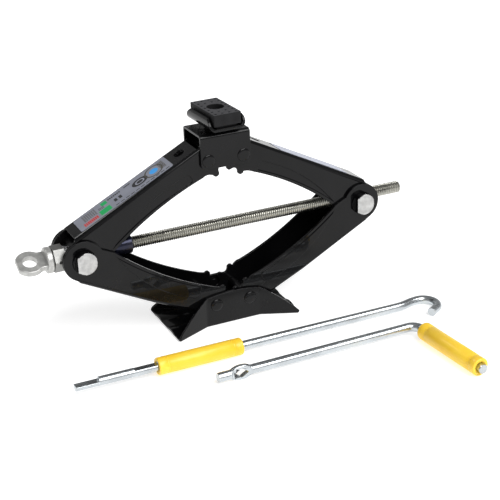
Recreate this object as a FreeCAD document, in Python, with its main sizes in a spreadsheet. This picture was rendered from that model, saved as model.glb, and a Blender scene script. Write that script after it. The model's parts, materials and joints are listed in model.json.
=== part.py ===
import FreeCAD, Part
import math
import os

import Sketcher

# Scissor stabilizer jack with its hook rod and crank handle.
# Millimetres, +Z up, X along the lift screw with its eye at -X.
# The origin is the centre of the base's underside, on the ground.

Vector = FreeCAD.Vector
Placement = FreeCAD.Placement
Rotation = FreeCAD.Rotation

SIZES = {
    # linkage
    "arm_length": 170,
    "pivot_gap": 41.3,
    "rest_angle": 30,
    "pivot_height": 25.4,
    "gauge": 3,
    # arms
    "upper_width": 40,
    "lower_width": 47,
    "ear_radius": 22.5,
    "upper_web_near": 25.2,
    "upper_web_knee": 20.52,
    "upper_web_far": 18,
    "upper_web_end": 168,
    "upper_hub_radius": 17,
    "upper_edge_mid": 9.5,
    "lower_web_near": 24.6,
    "lower_web_knee": 20.5,
    "lower_web_far": 15.8,
    "lower_web_end": 155,
    "lower_hub_radius": 15.6,
    "lower_edge_mid": 13.2,
    "bead_depth": 1.2,
    "bend_radius": 4,
    "drain_radius": 6.2,
    # gear sectors
    "tooth_pitch": 45,
    "tip_radius": 23.3,
    "land_radius": 20.3,
    "root_radius": 17.2,
    "tooth_half": 10.4,
    # pins
    "trunnion_radius": 12.6,
    "trunnion_span": 64,
    "shoulder_radius": 15,
    "shoulder_span": 33.4,
    "rivet_radius": 6,
    "rivet_head_radius": 7.4,
    "running_gap": 0.06,
    # base
    "base_length": 150,
    "base_end_width": 92,
    "base_width": 53.6,
    "base_waist": 65.4,
    "base_wall_peak": 38.6,
    "base_wall_waist": 35.2,
    "base_head_rise": 2.2,
    # top bracket and saddle
    "bracket_length": 58.6,
    "bracket_width": 47.6,
    "bracket_top": 29.1,
    "bracket_drop": 9.5,
    "bracket_head_rise": 1.6,
    "spacer_radius": 13,
    "spacer_height": 3.4,
    "saddle_turn": 1.8,
    "saddle_length": 60,
    "saddle_gauge": 3,
    "saddle_lip_rise": 15,
    "saddle_lip_reach": 21.6,
    "saddle_shank_radius": 5,
    "saddle_head_radius": 7.5,
    "pad_length": 32.2,
    "pad_width": 60,
    "pad_height": 13,
    "pad_foot": 3,
    "pad_hole_radius": 9.5,
    # lift screw
    "screw_radius": 7,
    "screw_stub_radius": 5,
    "screw_end": 231,
    "screw_stub_end": 201,
    "nut_flats": 26,
    "nut_outer": 196.4,
    "nut_inner": 184,
    "flange_radius": 14.2,
    "flange_outer": 204,
    "flange_inner": 197,
    "eye_centre": 220.5,
    "eye_radius": 15.5,
    "eye_hole_radius": 8,
    "eye_thickness": 7,
    "eye_tilt": 25,
    "eye_end": 234,
    "pin_radius": 1.5,
    "sleeve_radius": 11,
    "sleeve_start": 155.4,
    "sleeve_end": 108,
    "race_radius": 12.4,
    "race_bore_radius": 7.3,
    "race_gauge": 1.5,
    "ball_radius": 1.7,
    "ball_circle": 9.85,
    "ball_count": 12,
    "seat_depth": 9.4,
    # hook rod and crank handle
    "hook_rod_radius": 5,
    "hook_rod_reach": 386,
    "hook_offset_radius": 50,
    "hook_offset_turn": 18,
    "hook_bend_radius": 15,
    "hook_turn": 150,
    "hook_tail": 12,
    "hook_grip_start": 90.2,
    "hook_grip_length": 97.8,
    "hook_grip_radius": 9.5,
    "crank_rod_radius": 5.2,
    "crank_reach": 227.3,
    "crank_bend_radius": 11.8,
    "crank_turn": 86,
    "crank_leg": 106,
    "crank_eye_centre": 26,
    "crank_eye_half_length": 14,
    "crank_eye_half_height": 8.3,
    "crank_eye_thickness": 6,
    "crank_grip_start": 4,
    "crank_grip_length": 97,
    "crank_grip_radius": 10,
}

doc = FreeCAD.newDocument("ScissorJack")
sheet = doc.addObject("Spreadsheet::Sheet", "Sizes")
for row, (alias, number) in enumerate(SIZES.items(), start=1):
    sheet.set(f"A{row}", alias)
    sheet.set(f"B{row}", str(number))
    sheet.setAlias(f"B{row}", alias)
doc.recompute()


# ---------------------------------------------------------------- helpers

def value(expression):
    """The present value of an expression over the size sheet."""
    return float(sheet.evalExpression(expression))


def size(alias):
    return value("Sizes." + alias)


def new_body(label):
    body = doc.addObject("PartDesign::Body", label)
    body.Label = label
    return body


def new_sketch(body, plane, offset="0"):
    """A sketch on one of the body's own origin planes, lifted along the plane's normal."""
    sketch = body.newObject("Sketcher::SketchObject", body.Label + "_sketch")
    origin_plane = next(f for f in body.Origin.OriginFeatures if f.Role == plane)
    sketch.AttachmentSupport = (origin_plane, "")
    sketch.MapMode = "FlatFace"
    sketch.AttachmentOffset = Placement(Vector(0, 0, value(offset)), Rotation())
    if offset != "0":
        sketch.setExpression("AttachmentOffset.Base.z", offset)
    return sketch


def bind(sketch, kind, *places, expression):
    """Add a dimension to a sketch and tie it to the size sheet."""
    number = sketch.addConstraint(Sketcher.Constraint(kind, *places, value(expression)))
    sketch.setExpression(f"Constraints[{number}]", expression)


def draw_circle(sketch, radius, x="0", y="0"):
    circle = Part.Circle(Vector(value(x), value(y), 0), Vector(0, 0, 1), value(radius))
    item = sketch.addGeometry(circle)
    bind(sketch, "Radius", item, expression=radius)
    bind(sketch, "DistanceX", -1, 1, item, 3, expression=x)
    bind(sketch, "DistanceY", -1, 1, item, 3, expression=y)


def draw_rectangle(sketch, left, right, low, high):
    """An upright rectangle whose four sides are tied to the size sheet."""
    x0, x1, y0, y1 = value(left), value(right), value(low), value(high)
    corners = [Vector(x0, y0), Vector(x1, y0), Vector(x1, y1), Vector(x0, y1)]
    sides = [
        sketch.addGeometry(Part.LineSegment(corners[n], corners[(n + 1) % 4]))
        for n in range(4)
    ]
    for n, side in enumerate(sides):
        following = sides[(n + 1) % 4]
        sketch.addConstraint(Sketcher.Constraint("Coincident", side, 2, following, 1))
        direction = "Horizontal" if n % 2 == 0 else "Vertical"
        sketch.addConstraint(Sketcher.Constraint(direction, side))
    bind(sketch, "DistanceX", -1, 1, sides[0], 1, expression=left)
    bind(sketch, "DistanceX", -1, 1, sides[1], 1, expression=right)
    bind(sketch, "DistanceY", -1, 1, sides[0], 1, expression=low)
    bind(sketch, "DistanceY", -1, 1, sides[2], 1, expression=high)


def draw_loop(sketch, start, steps, close=True):
    """Draw from start: a step is an end point, or a (middle, end) pair for an arc."""
    here = start
    for step in steps:
        if isinstance(step[0], tuple):
            middle, end = step
            edge = Part.Arc(Vector(*here), Vector(*middle), Vector(*end))
        else:
            end = step
            edge = Part.LineSegment(Vector(*here), Vector(*end))
        sketch.addGeometry(edge)
        here = end
    if close:
        sketch.addGeometry(Part.LineSegment(Vector(*here), Vector(*start)))


def draw_rounded(sketch, corners, radii):
    """Draw a closed polygon with each corner rounded by its own radius, or sharp at 0."""
    points = [Vector(x, y) for x, y in corners]
    start = None
    steps = []
    for n, corner in enumerate(points):
        back = (points[n - 1] - corner).normalize()
        ahead = (points[(n + 1) % len(points)] - corner).normalize()
        half = back.getAngle(ahead) / 2
        if radii[n] == 0:
            entry = leave = corner
        else:
            entry = corner + back * (radii[n] / math.tan(half))
            leave = corner + ahead * (radii[n] / math.tan(half))
            inward = (back + ahead).normalize()
            crown = corner + inward * (radii[n] / math.sin(half) - radii[n])
        if start is None:
            start = (leave.x, leave.y)
            last = (entry, crown if radii[n] else None)
        else:
            steps.append((entry.x, entry.y))
            if radii[n]:
                steps.append(((crown.x, crown.y), (leave.x, leave.y)))
    entry, crown = last
    steps.append((entry.x, entry.y))
    if crown is not None:
        steps.append(((crown.x, crown.y), start))
    draw_loop(sketch, start, steps, close=False)


def pad(body, sketch, length, both_ways=False, reverse=False):
    feature = body.newObject("PartDesign::Pad", body.Label + "_pad")
    feature.Profile = sketch
    feature.setExpression("Length", length)
    feature.SideType = "Symmetric" if both_ways else "One side"
    feature.Reversed = reverse
    doc.recompute()
    return feature


def pocket(body, sketch, length, both_ways=False, reverse=False):
    """Cut a sketch into the body, and insist that it took something away."""
    before = body.Shape.Volume
    feature = body.newObject("PartDesign::Pocket", body.Label + "_pocket")
    feature.Profile = sketch
    feature.setExpression("Length", length)
    feature.SideType = "Symmetric" if both_ways else "One side"
    feature.Reversed = reverse
    doc.recompute()
    if body.Shape.Volume > before - 0.01:
        raise RuntimeError("a pocket in " + body.Label + " cut nothing")
    return feature


def edges_like(body, test):
    """Names of the body's edges whose middle point and length pass a test."""
    names = []
    for number, edge in enumerate(body.Tip.Shape.Edges, start=1):
        middle = edge.valueAt((edge.FirstParameter + edge.LastParameter) / 2)
        if test(middle, edge):
            names.append(f"Edge{number}")
    return names


def soften(body, radius, test, kind="Fillet"):
    """Round or bevel the edges that pass a test."""
    names = edges_like(body, test)
    if not names:
        raise RuntimeError("no edges to soften on " + body.Label)
    base = body.Tip
    feature = body.newObject("PartDesign::" + kind, body.Label + "_edge")
    feature.Base = (base, names)
    if kind == "Fillet":
        feature.Radius = radius
    else:
        feature.Size = radius
    doc.recompute()
    if "Invalid" in feature.State or feature.Shape.isNull():
        raise RuntimeError("softening failed on " + body.Label)
    return feature


def ring_on_screw(label, outer, inner, start, length, flats=None):
    """A collar on the screw's axis: its outside is round, or a hexagon of given flats."""
    body = new_body(label)
    sketch = new_sketch(body, "YZ_Plane")
    if flats is None:
        draw_circle(sketch, outer)
    else:
        across = value(flats) / math.sqrt(3)
        corners = [
            (across * math.cos(math.radians(60 * n)), across * math.sin(math.radians(60 * n)))
            for n in range(6)
        ]
        draw_loop(sketch, corners[0], corners[1:])
    draw_circle(sketch, inner)
    pad(body, sketch, length)
    body.Placement = Placement(Vector(value(start), 0, axis_height), Rotation())
    return body


def is_end_rim(start, end, radius):
    """A test for the round rims at both ends of something turned about the X axis."""
    def test(middle, edge):
        reach = math.hypot(middle.y, middle.z)
        at_end = min(abs(middle.x - start), abs(middle.x - end)) < 0.01
        return at_end and abs(reach - radius) < 0.01
    return test


# ------------------------------------------------------------ rest geometry

angle = math.radians(size("rest_angle"))
half_gap = size("pivot_gap") / 2
half_span = half_gap + size("arm_length") * math.cos(angle)
axis_height = size("pivot_height") + size("arm_length") * math.sin(angle)
top_height = size("pivot_height") + 2 * size("arm_length") * math.sin(angle)
bracket_top = top_height + size("bracket_top")


# --------------------------------------------------------------------- base

def bead_on_plate(body, centre_y, end):
    """A stamped bead that runs from the plate's field out through its end edge."""
    rise = 2.0
    half = 11.0
    start = 40.0
    for lift, operation in ((size("gauge"), pad), (0.0, pocket)):
        sketch = new_sketch(body, "YZ_Plane", str(end * start))
        top = rise + lift
        left = centre_y - half
        right = centre_y + half
        low = lift - 0.6 if operation is pad else lift - 1.0
        steps = [((centre_y, top), (right, lift)), (right, low), (left, low)]
        draw_loop(sketch, (left, lift), steps)
        reach = size("base_length") / 2 - start
        reach += 0.0 if operation is pad else 1.0
        reverse = (end < 0) == (operation is pad)
        operation(body, sketch, str(reach), reverse=reverse)


def make_base_plate():
    """A waisted tray: two humped side walls that flare out and run down to the corners."""
    body = new_body("base_plate")
    end = size("base_length") / 2
    corner = size("base_end_width") / 2
    waist = size("base_waist") / 2
    side = size("base_width") / 2
    gauge = size("gauge")

    # round the waist's bends about one centre, so that the wall keeps its gauge
    bend = 9
    plan = [(-end, -corner), (-waist, -side), (waist, -side), (end, -corner)]
    plan += [(-x, -y) for x, y in plan]
    sketch = new_sketch(body, "XY_Plane")
    draw_rounded(sketch, plan, [2.5, bend, bend, 2.5] * 2)
    pad(body, sketch, "Sizes.base_wall_peak + 2")

    # hollow between the walls, open at both ends
    slope = (corner - side) / (end - waist)
    far = end + 10
    inner_side = side - gauge
    inner_waist = waist + gauge * math.tan(math.atan(slope) / 2)
    inner_far = inner_side + slope * (far - inner_waist)
    hollow = [(-far, -inner_far), (-inner_waist, -inner_side)]
    hollow += [(-x, y) for x, y in reversed(hollow)]
    hollow += [(-x, -y) for x, y in hollow]
    sketch = new_sketch(body, "XY_Plane", "Sizes.gauge")
    draw_rounded(sketch, hollow, [0, bend + gauge, bend + gauge, 0] * 2)
    pocket(body, sketch, "Sizes.base_wall_peak + 10", reverse=True)

    # trim the walls to their humped side view
    peak = size("base_wall_peak")
    shoulder = size("base_wall_waist")
    high = peak + 10
    sketch = new_sketch(body, "XZ_Plane")
    steps = [
        (-end - 5, gauge),
        (-end, gauge),
        ((-55, 20.5), (-waist, shoulder)),
        ((0, peak), (waist, shoulder)),
        ((55, 20.5), (end, gauge)),
        (end + 5, gauge),
        (end + 5, high),
    ]
    draw_loop(sketch, (-end - 5, high), steps)
    pocket(body, sketch, "Sizes.base_end_width + 20", both_ways=True)

    def bottom_rim(middle, edge):
        return abs(middle.z) < 0.01
    soften(body, 2.2, bottom_rim)

    for bead_end in (-1, 1):
        for bead_y in (-19.0, 19.0):
            bead_on_plate(body, bead_y, bead_end)

    sketch = new_sketch(body, "XZ_Plane")
    for sign in ("-", ""):
        draw_circle(sketch, "Sizes.rivet_radius", sign + "Sizes.pivot_gap / 2", "Sizes.pivot_height")
    pocket(body, sketch, "Sizes.base_width + 20", both_ways=True)
    return body


# --------------------------------------------------------------------- arms

def on_gear(radius, degrees):
    """A point of the gear sector, about the pivot at the arm's far end."""
    turn = math.radians(degrees)
    return (size("arm_length") + radius * math.cos(turn), radius * math.sin(turn))


def gear_steps(teeth, start):
    """Lobes and hollows of the gear sector, going clockwise from the angle start."""
    tip = size("tip_radius")
    land = size("land_radius")
    root = size("root_radius")
    half = size("tooth_half")
    space = size("tooth_pitch") - half
    steps = [on_gear(land, start)]
    if teeth[0] < 0:
        hollow = teeth[0] + size("tooth_pitch") / 2
        begin = 2 * hollow - (teeth[0] + half)
        steps.append((on_gear(land, (start + begin) / 2), on_gear(land, begin)))
        steps.append((on_gear(root, hollow), on_gear(land, teeth[0] + half)))
    else:
        steps.append((on_gear(land, (start + half) / 2), on_gear(land, teeth[0] + half)))
    for tooth in teeth:
        steps.append((on_gear(tip, tooth), on_gear(land, tooth - half)))
        if tooth != teeth[-1]:
            middle = tooth - size("tooth_pitch") / 2
            steps.append((on_gear(root, middle), on_gear(land, tooth - space)))
    return steps


def arm_outline(kind, teeth):
    """Side view of a flange: ear at the origin, gear sector at the far end, web side up."""
    length = size("arm_length")
    ear = size("ear_radius")
    near = size(kind + "_web_near")
    knee = size(kind + "_web_knee")
    far = size(kind + "_web_far")
    hub = size(kind + "_hub_radius")
    edge_mid = size(kind + "_edge_mid")
    edge_end = edge_mid + 4.3

    def on_ear(degrees):
        turn = math.radians(degrees)
        return (ear * math.cos(turn), ear * math.sin(turn))

    sector_start = 14
    start = on_ear(94)
    hub_end = on_gear(hub, sector_start)
    steps = [(web_start - 2, ear + 0.4), (web_start, near), (100, knee), (150, far), (length, hub)]
    steps.append((on_gear(hub, 50), hub_end))
    gear = gear_steps(teeth, sector_start)
    if abs(hub - size("land_radius")) < 0.01:
        gear = gear[1:]
    steps += gear
    heel_x, heel_z = gear[-1][1]
    edge_start = (heel_x - 11, -edge_end)
    steps.append(((heel_x - 4.6, -edge_end - 1.1), edge_start))
    steps.append(((85, -edge_mid), (28, -edge_end - 2.2)))
    steps.append(on_ear(-55))
    steps.append((on_ear(-160), start))
    return start, steps


web_start = 7


def web_line(kind, x):
    """Distance of the web's outer face from the line between the arm's two pivots."""
    near = size(kind + "_web_near")
    knee = size(kind + "_web_knee")
    far = size(kind + "_web_far")
    if x < 100:
        return near + (knee - near) * (x - web_start) / (100 - web_start)
    return knee + (far - knee) * (x - 100) / 50


def bead_steps(kind):
    """The long bead of a flange, between its free edge and a curved line."""
    edge_mid = size(kind + "_edge_mid") - 3.4
    start = (34, -edge_mid - 5.2)
    steps = [((85, -edge_mid), (141, -edge_mid - 3.6))]
    steps.append(((144.5, -edge_mid - 1.6), (144.5, 1 - edge_mid)))
    steps.append(((144.5, -1.5), (141, 1)))
    steps.append(((88, 2.5), start))
    return start, steps


def make_arm(label, kind, teeth, turn):
    """A channel-section arm with round ears, beaded flanges and a gear sector."""
    body = new_body(label)
    width = f"Sizes.{kind}_width"
    gauge = size("gauge")
    sketch = new_sketch(body, "XZ_Plane")
    draw_loop(sketch, *arm_outline(kind, teeth), close=False)
    pad(body, sketch, width, both_ways=True)
    half = size(kind + "_width") / 2

    def web_bend(middle, edge):
        on_web = abs(middle.z - web_line(kind, middle.x)) < 0.05
        return on_web and abs(abs(middle.y) - half) < 0.01
    soften(body, size("bend_radius"), web_bend)

    if kind == "lower":
        sketch = new_sketch(body, "XZ_Plane")
        draw_loop(sketch, *bead_steps(kind), close=False)
        pad(body, sketch, width + " + 2 * Sizes.bead_depth", both_ways=True)

    # the channel, open towards the free edges and past both ends of the web
    web_end = size(kind + "_web_end")
    under = [(x, web_line(kind, x) - gauge) for x in (web_end, 100, web_start)]
    sketch = new_sketch(body, "XZ_Plane")
    steps = [(215, -45), (215, 45), (web_end, 45), *under, (web_start, 45), (-45, 45)]
    draw_loop(sketch, (-45, -45), steps)
    pocket(body, sketch, width + " - 2 * Sizes.gauge", both_ways=True)

    sketch = new_sketch(body, "XZ_Plane")
    draw_circle(sketch, "Sizes.trunnion_radius + Sizes.running_gap")
    draw_circle(sketch, "Sizes.rivet_radius + Sizes.running_gap", "Sizes.arm_length")
    pocket(body, sketch, width + " + 10", both_ways=True)

    if kind == "upper":
        for side, reverse in (("", False), ("-", True)):
            sketch = new_sketch(body, "XZ_Plane", f"{side}Sizes.upper_width / 2")
            draw_loop(sketch, *bead_steps(kind), close=False)
            pocket(body, sketch, "Sizes.bead_depth", reverse=reverse)
        sketch = new_sketch(body, "XY_Plane")
        draw_circle(sketch, "Sizes.drain_radius", "Sizes.arm_length - 18")
        pocket(body, sketch, "60", reverse=True)

    is_left = label.endswith("left")
    turned = Rotation(Vector(0, 1, 0), turn)
    if kind == "lower":
        turned = turned * Rotation(Vector(1, 0, 0), 180)
    if not is_left:
        turned = Rotation(Vector(0, 0, 1), 180) * turned
    side_x = -half_span if is_left else half_span
    body.Placement = Placement(Vector(side_x, 0, axis_height), turned)
    return body


def make_label(label, side, start, end):
    """A thin sticker on an upper arm's web."""
    body = new_body(label)
    half_width = 15.4
    corner = 2.5
    length = end - start
    k = corner * (1 - math.sqrt(0.5))
    sketch = new_sketch(body, "XY_Plane")
    steps = [
        (length - corner, -half_width),
        ((length - k, -half_width + k), (length, -half_width + corner)),
        (length, half_width - corner),
        ((length - k, half_width - k), (length - corner, half_width)),
        (corner, half_width),
        ((k, half_width - k), (0, half_width - corner)),
        (0, -half_width + corner),
        ((k, -half_width + k), (corner, -half_width)),
    ]
    draw_loop(sketch, (corner, -half_width), steps, close=False)
    pad(body, sketch, "0.3")
    slope = math.degrees(math.atan2(web_line("upper", start) - web_line("upper", start + 10), 10))
    turned = Rotation(Vector(0, 1, 0), -size("rest_angle"))
    place = Placement(Vector(-half_span, 0, axis_height), turned)
    clear = 0.06
    on_web = Placement(
        Vector(start, 0, web_line("upper", start) + clear),
        Rotation(Vector(0, 1, 0), slope),
    )
    place = place * on_web
    if side > 0:
        place = Placement(Vector(), Rotation(Vector(0, 0, 1), 180)) * place
    body.Placement = place
    return body


# --------------------------------------------------------------------- pins

def make_rivet(label, width, rise, x, z):
    """A pivot rivet: a shank across the walls with a low round head outside each."""
    body = new_body(label)
    sketch = new_sketch(body, "XZ_Plane")
    draw_circle(sketch, "Sizes.rivet_radius")
    pad(body, sketch, width, both_ways=True)
    for side, reverse in (("", False), ("-1 * ", True)):
        sketch = new_sketch(body, "XZ_Plane", f"{side}{width} / 2")
        draw_circle(sketch, "Sizes.rivet_head_radius")
        pad(body, sketch, rise, reverse=reverse)
    outer = value(width) / 2 + value(rise)

    def head_rim(middle, edge):
        return abs(abs(middle.y) - outer) < 0.01
    soften(body, 0.9, head_rim)
    body.Placement = Placement(Vector(x, 0, z), Rotation())
    return body


def make_trunnion(label, seat):
    """A cross bar that pins the ears and carries the screw through its shouldered middle."""
    body = new_body(label)
    sketch = new_sketch(body, "XZ_Plane")
    draw_circle(sketch, "Sizes.trunnion_radius")
    pad(body, sketch, "Sizes.trunnion_span", both_ways=True)
    sketch = new_sketch(body, "XZ_Plane")
    draw_circle(sketch, "Sizes.shoulder_radius")
    pad(body, sketch, "Sizes.shoulder_span", both_ways=True)
    end = size("trunnion_span") / 2

    def end_rim(middle, edge):
        return abs(abs(middle.y) - end) < 0.01
    soften(body, 0.8, end_rim, "Chamfer")

    # flats across the shoulder where the bearing and the stop sleeve face it
    sketch = new_sketch(body, "XZ_Plane")
    draw_rectangle(sketch, "-20", "-" + seat, "-20", "20")
    draw_rectangle(sketch, "12", "20", "-20", "20")
    pocket(body, sketch, "Sizes.shoulder_span", both_ways=True)

    # a short locating flat at each end of the bar
    for side, reverse in (("", False), ("-1 * ", True)):
        sketch = new_sketch(body, "XZ_Plane", f"{side}Sizes.trunnion_span / 2")
        draw_rectangle(sketch, "-16", "-9.6", "-16", "16")
        pocket(body, sketch, "6.5", reverse=reverse)

    sketch = new_sketch(body, "YZ_Plane")
    draw_circle(sketch, "Sizes.screw_radius + Sizes.running_gap")
    pocket(body, sketch, "80", both_ways=True)
    return body


# --------------------------------------------------- top bracket and saddle

def make_top_bracket():
    body = new_body("top_bracket")
    sketch = new_sketch(body, "XZ_Plane")
    half = "Sizes.bracket_length / 2"
    draw_rectangle(sketch, "-" + half, half, "-Sizes.bracket_drop", "Sizes.bracket_top")
    pad(body, sketch, "Sizes.bracket_width", both_ways=True)
    x_end = size("bracket_length") / 2
    y_side = size("bracket_width") / 2

    def top_edge(middle, edge):
        return middle.z > size("bracket_top") - 0.01 and abs(abs(middle.y) - y_side) < 0.01
    soften(body, 4.5, top_edge)

    def low_corner(middle, edge):
        across = abs(edge.tangentAt(edge.FirstParameter).y) > 0.99
        return across and middle.z < 0 and abs(middle.x) > x_end - 0.01
    soften(body, 6, low_corner)

    sketch = new_sketch(body, "YZ_Plane")
    inner = "Sizes.bracket_width / 2 - Sizes.gauge"
    draw_rectangle(sketch, f"-1 * ({inner})", inner, "-30", "Sizes.bracket_top - Sizes.gauge")
    pocket(body, sketch, "Sizes.bracket_length + 20", both_ways=True)

    def inner_bend(middle, edge):
        ceiling = size("bracket_top") - size("gauge")
        along = abs(edge.tangentAt(edge.FirstParameter).x) > 0.99
        return along and abs(middle.z - ceiling) < 0.01 and abs(middle.y) > y_side - 4
    soften(body, 1.5, inner_bend)

    sketch = new_sketch(body, "XZ_Plane")
    for sign in ("-", ""):
        draw_circle(sketch, "Sizes.rivet_radius", sign + "Sizes.pivot_gap / 2")
    pocket(body, sketch, "Sizes.bracket_width + 20", both_ways=True)

    sketch = new_sketch(body, "XY_Plane")
    draw_circle(sketch, "Sizes.saddle_shank_radius")
    pocket(body, sketch, "60", reverse=True)
    body.Placement = Placement(Vector(0, 0, top_height), Rotation())
    return body


def make_saddle_spacer():
    body = new_body("saddle_spacer")
    sketch = new_sketch(body, "XY_Plane")
    draw_circle(sketch, "Sizes.spacer_radius")
    draw_circle(sketch, "Sizes.saddle_shank_radius")
    pad(body, sketch, "Sizes.spacer_height")
    body.Placement = Placement(Vector(0, 0, bracket_top), Rotation())
    return body


def make_saddle_plate():
    """A cradle for the pad, with bulged lips that rise along both long sides."""
    body = new_body("saddle_plate")
    gauge = size("saddle_gauge")
    rise = size("saddle_lip_rise")
    reach = size("saddle_lip_reach")
    foot = 15.5
    crest = reach - 1.6
    sketch = new_sketch(body, "XZ_Plane")
    steps = [
        (foot, 0),
        ((reach, rise * 0.52), (crest, rise)),
        (crest - gauge, rise),
        ((reach - gauge, rise * 0.55), (foot - 0.9, gauge)),
        (0.9 - foot, gauge),
        ((gauge - reach, rise * 0.55), (gauge - crest, rise)),
        (-crest, rise),
        ((-reach, rise * 0.52), (-foot, 0)),
    ]
    draw_loop(sketch, (-foot, 0), steps, close=False)
    pad(body, sketch, "Sizes.saddle_length", both_ways=True)

    # the lips' front and back corners are cut away in a curve
    half = size("saddle_length") / 2
    for side in (-1, 1):
        sketch = new_sketch(body, "YZ_Plane")
        steps = [
            (side * half, gauge + 0.6),
            ((side * (half - 3.4), gauge + 7.6), (side * (half - 10), rise + 0.1)),
            (side * (half - 10), rise + 5),
            (side * (half + 5), rise + 5),
        ]
        draw_loop(sketch, (side * (half + 5), gauge + 0.6), steps)
        pocket(body, sketch, "60", both_ways=True)

    sketch = new_sketch(body, "XY_Plane")
    draw_circle(sketch, "Sizes.saddle_shank_radius")
    pocket(body, sketch, "20", reverse=True)
    turned = Rotation(Vector(0, 0, 1), size("saddle_turn"))
    body.Placement = Placement(Vector(0, 0, bracket_top + size("spacer_height")), turned)
    return body


def make_saddle_rivet():
    """Ties bracket, spacer and saddle together; its head sits in the pad's hole."""
    body = new_body("saddle_rivet")
    grip = "Sizes.gauge + Sizes.spacer_height + Sizes.saddle_gauge"
    sketch = new_sketch(body, "XY_Plane")
    draw_circle(sketch, "Sizes.saddle_shank_radius")
    pad(body, sketch, grip)
    sketch = new_sketch(body, "XY_Plane", grip)
    draw_circle(sketch, "Sizes.saddle_head_radius")
    pad(body, sketch, "2.6")
    sketch = new_sketch(body, "XY_Plane")
    draw_circle(sketch, "Sizes.saddle_head_radius")
    pad(body, sketch, "2.2", reverse=True)
    high = value(grip) + 2.6

    def head_rim(middle, edge):
        return abs(middle.z - high) < 0.01 or abs(middle.z + 2.2) < 0.01
    soften(body, 1, head_rim)
    body.Placement = Placement(Vector(0, 0, bracket_top - size("gauge")), Rotation())
    return body


def make_rubber_pad():
    """A block with a centre hole, a narrower foot and a field of square dimples."""
    body = new_body("rubber_pad")
    sketch = new_sketch(body, "XY_Plane", "Sizes.pad_foot")
    half_x = "Sizes.pad_length / 2"
    half_y = "Sizes.pad_width / 2"
    draw_rectangle(sketch, "-" + half_x, half_x, "-" + half_y, half_y)
    pad(body, sketch, "Sizes.pad_height")

    def upright(middle, edge):
        return abs(edge.tangentAt(edge.FirstParameter).z) > 0.99
    soften(body, 1.2, upright)
    sketch = new_sketch(body, "XY_Plane")
    draw_rectangle(sketch, "-12", "12", "-27", "27")
    pad(body, sketch, "Sizes.pad_foot")
    sketch = new_sketch(body, "XY_Plane")
    draw_circle(sketch, "Sizes.pad_hole_radius")
    pocket(body, sketch, "60", reverse=True)

    # dimples in rows of four, left out where the hole is
    top = "Sizes.pad_foot + Sizes.pad_height"
    sketch = new_sketch(body, "XY_Plane", top)
    pitch_x = size("pad_length") / 4
    pitch_y = size("pad_width") / 7
    for column in range(4):
        for row in range(7):
            x = (column - 1.5) * pitch_x
            y = (row - 3) * pitch_y
            if math.hypot(x, y) > size("pad_hole_radius") + 2.2:
                corners = [(x - 1, y - 1), (x + 1, y - 1), (x + 1, y + 1), (x - 1, y + 1)]
                draw_loop(sketch, corners[0], corners[1:])
    pocket(body, sketch, "1.4")
    base = bracket_top + size("spacer_height") + size("saddle_gauge")
    turned = Rotation(Vector(0, 0, 1), size("saddle_turn"))
    body.Placement = Placement(Vector(0, 0, base), turned)
    return body


# --------------------------------------------------------- lift screw group

def make_lift_screw():
    """A plain bar at the thread's outer diameter, with a stub for the nut and the eye."""
    body = new_body("lift_screw")
    start = size("nut_inner")
    sketch = new_sketch(body, "YZ_Plane")
    draw_circle(sketch, "Sizes.screw_radius")
    pad(body, sketch, "Sizes.screw_end + Sizes.nut_inner")

    def far_rim(middle, edge):
        return abs(middle.x - size("screw_end") - start) < 0.01
    soften(body, 1.2, far_rim, "Chamfer")
    sketch = new_sketch(body, "YZ_Plane")
    draw_circle(sketch, "Sizes.screw_stub_radius")
    pad(body, sketch, "Sizes.screw_stub_end - Sizes.nut_inner", reverse=True)
    middle = (size("nut_inner") - size("nut_outer")) / 2
    sketch = new_sketch(body, "XZ_Plane")
    draw_circle(sketch, "Sizes.pin_radius", str(middle))
    pocket(body, sketch, "40", both_ways=True)
    body.Placement = Placement(Vector(-start, 0, axis_height), Rotation())
    return body


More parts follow.
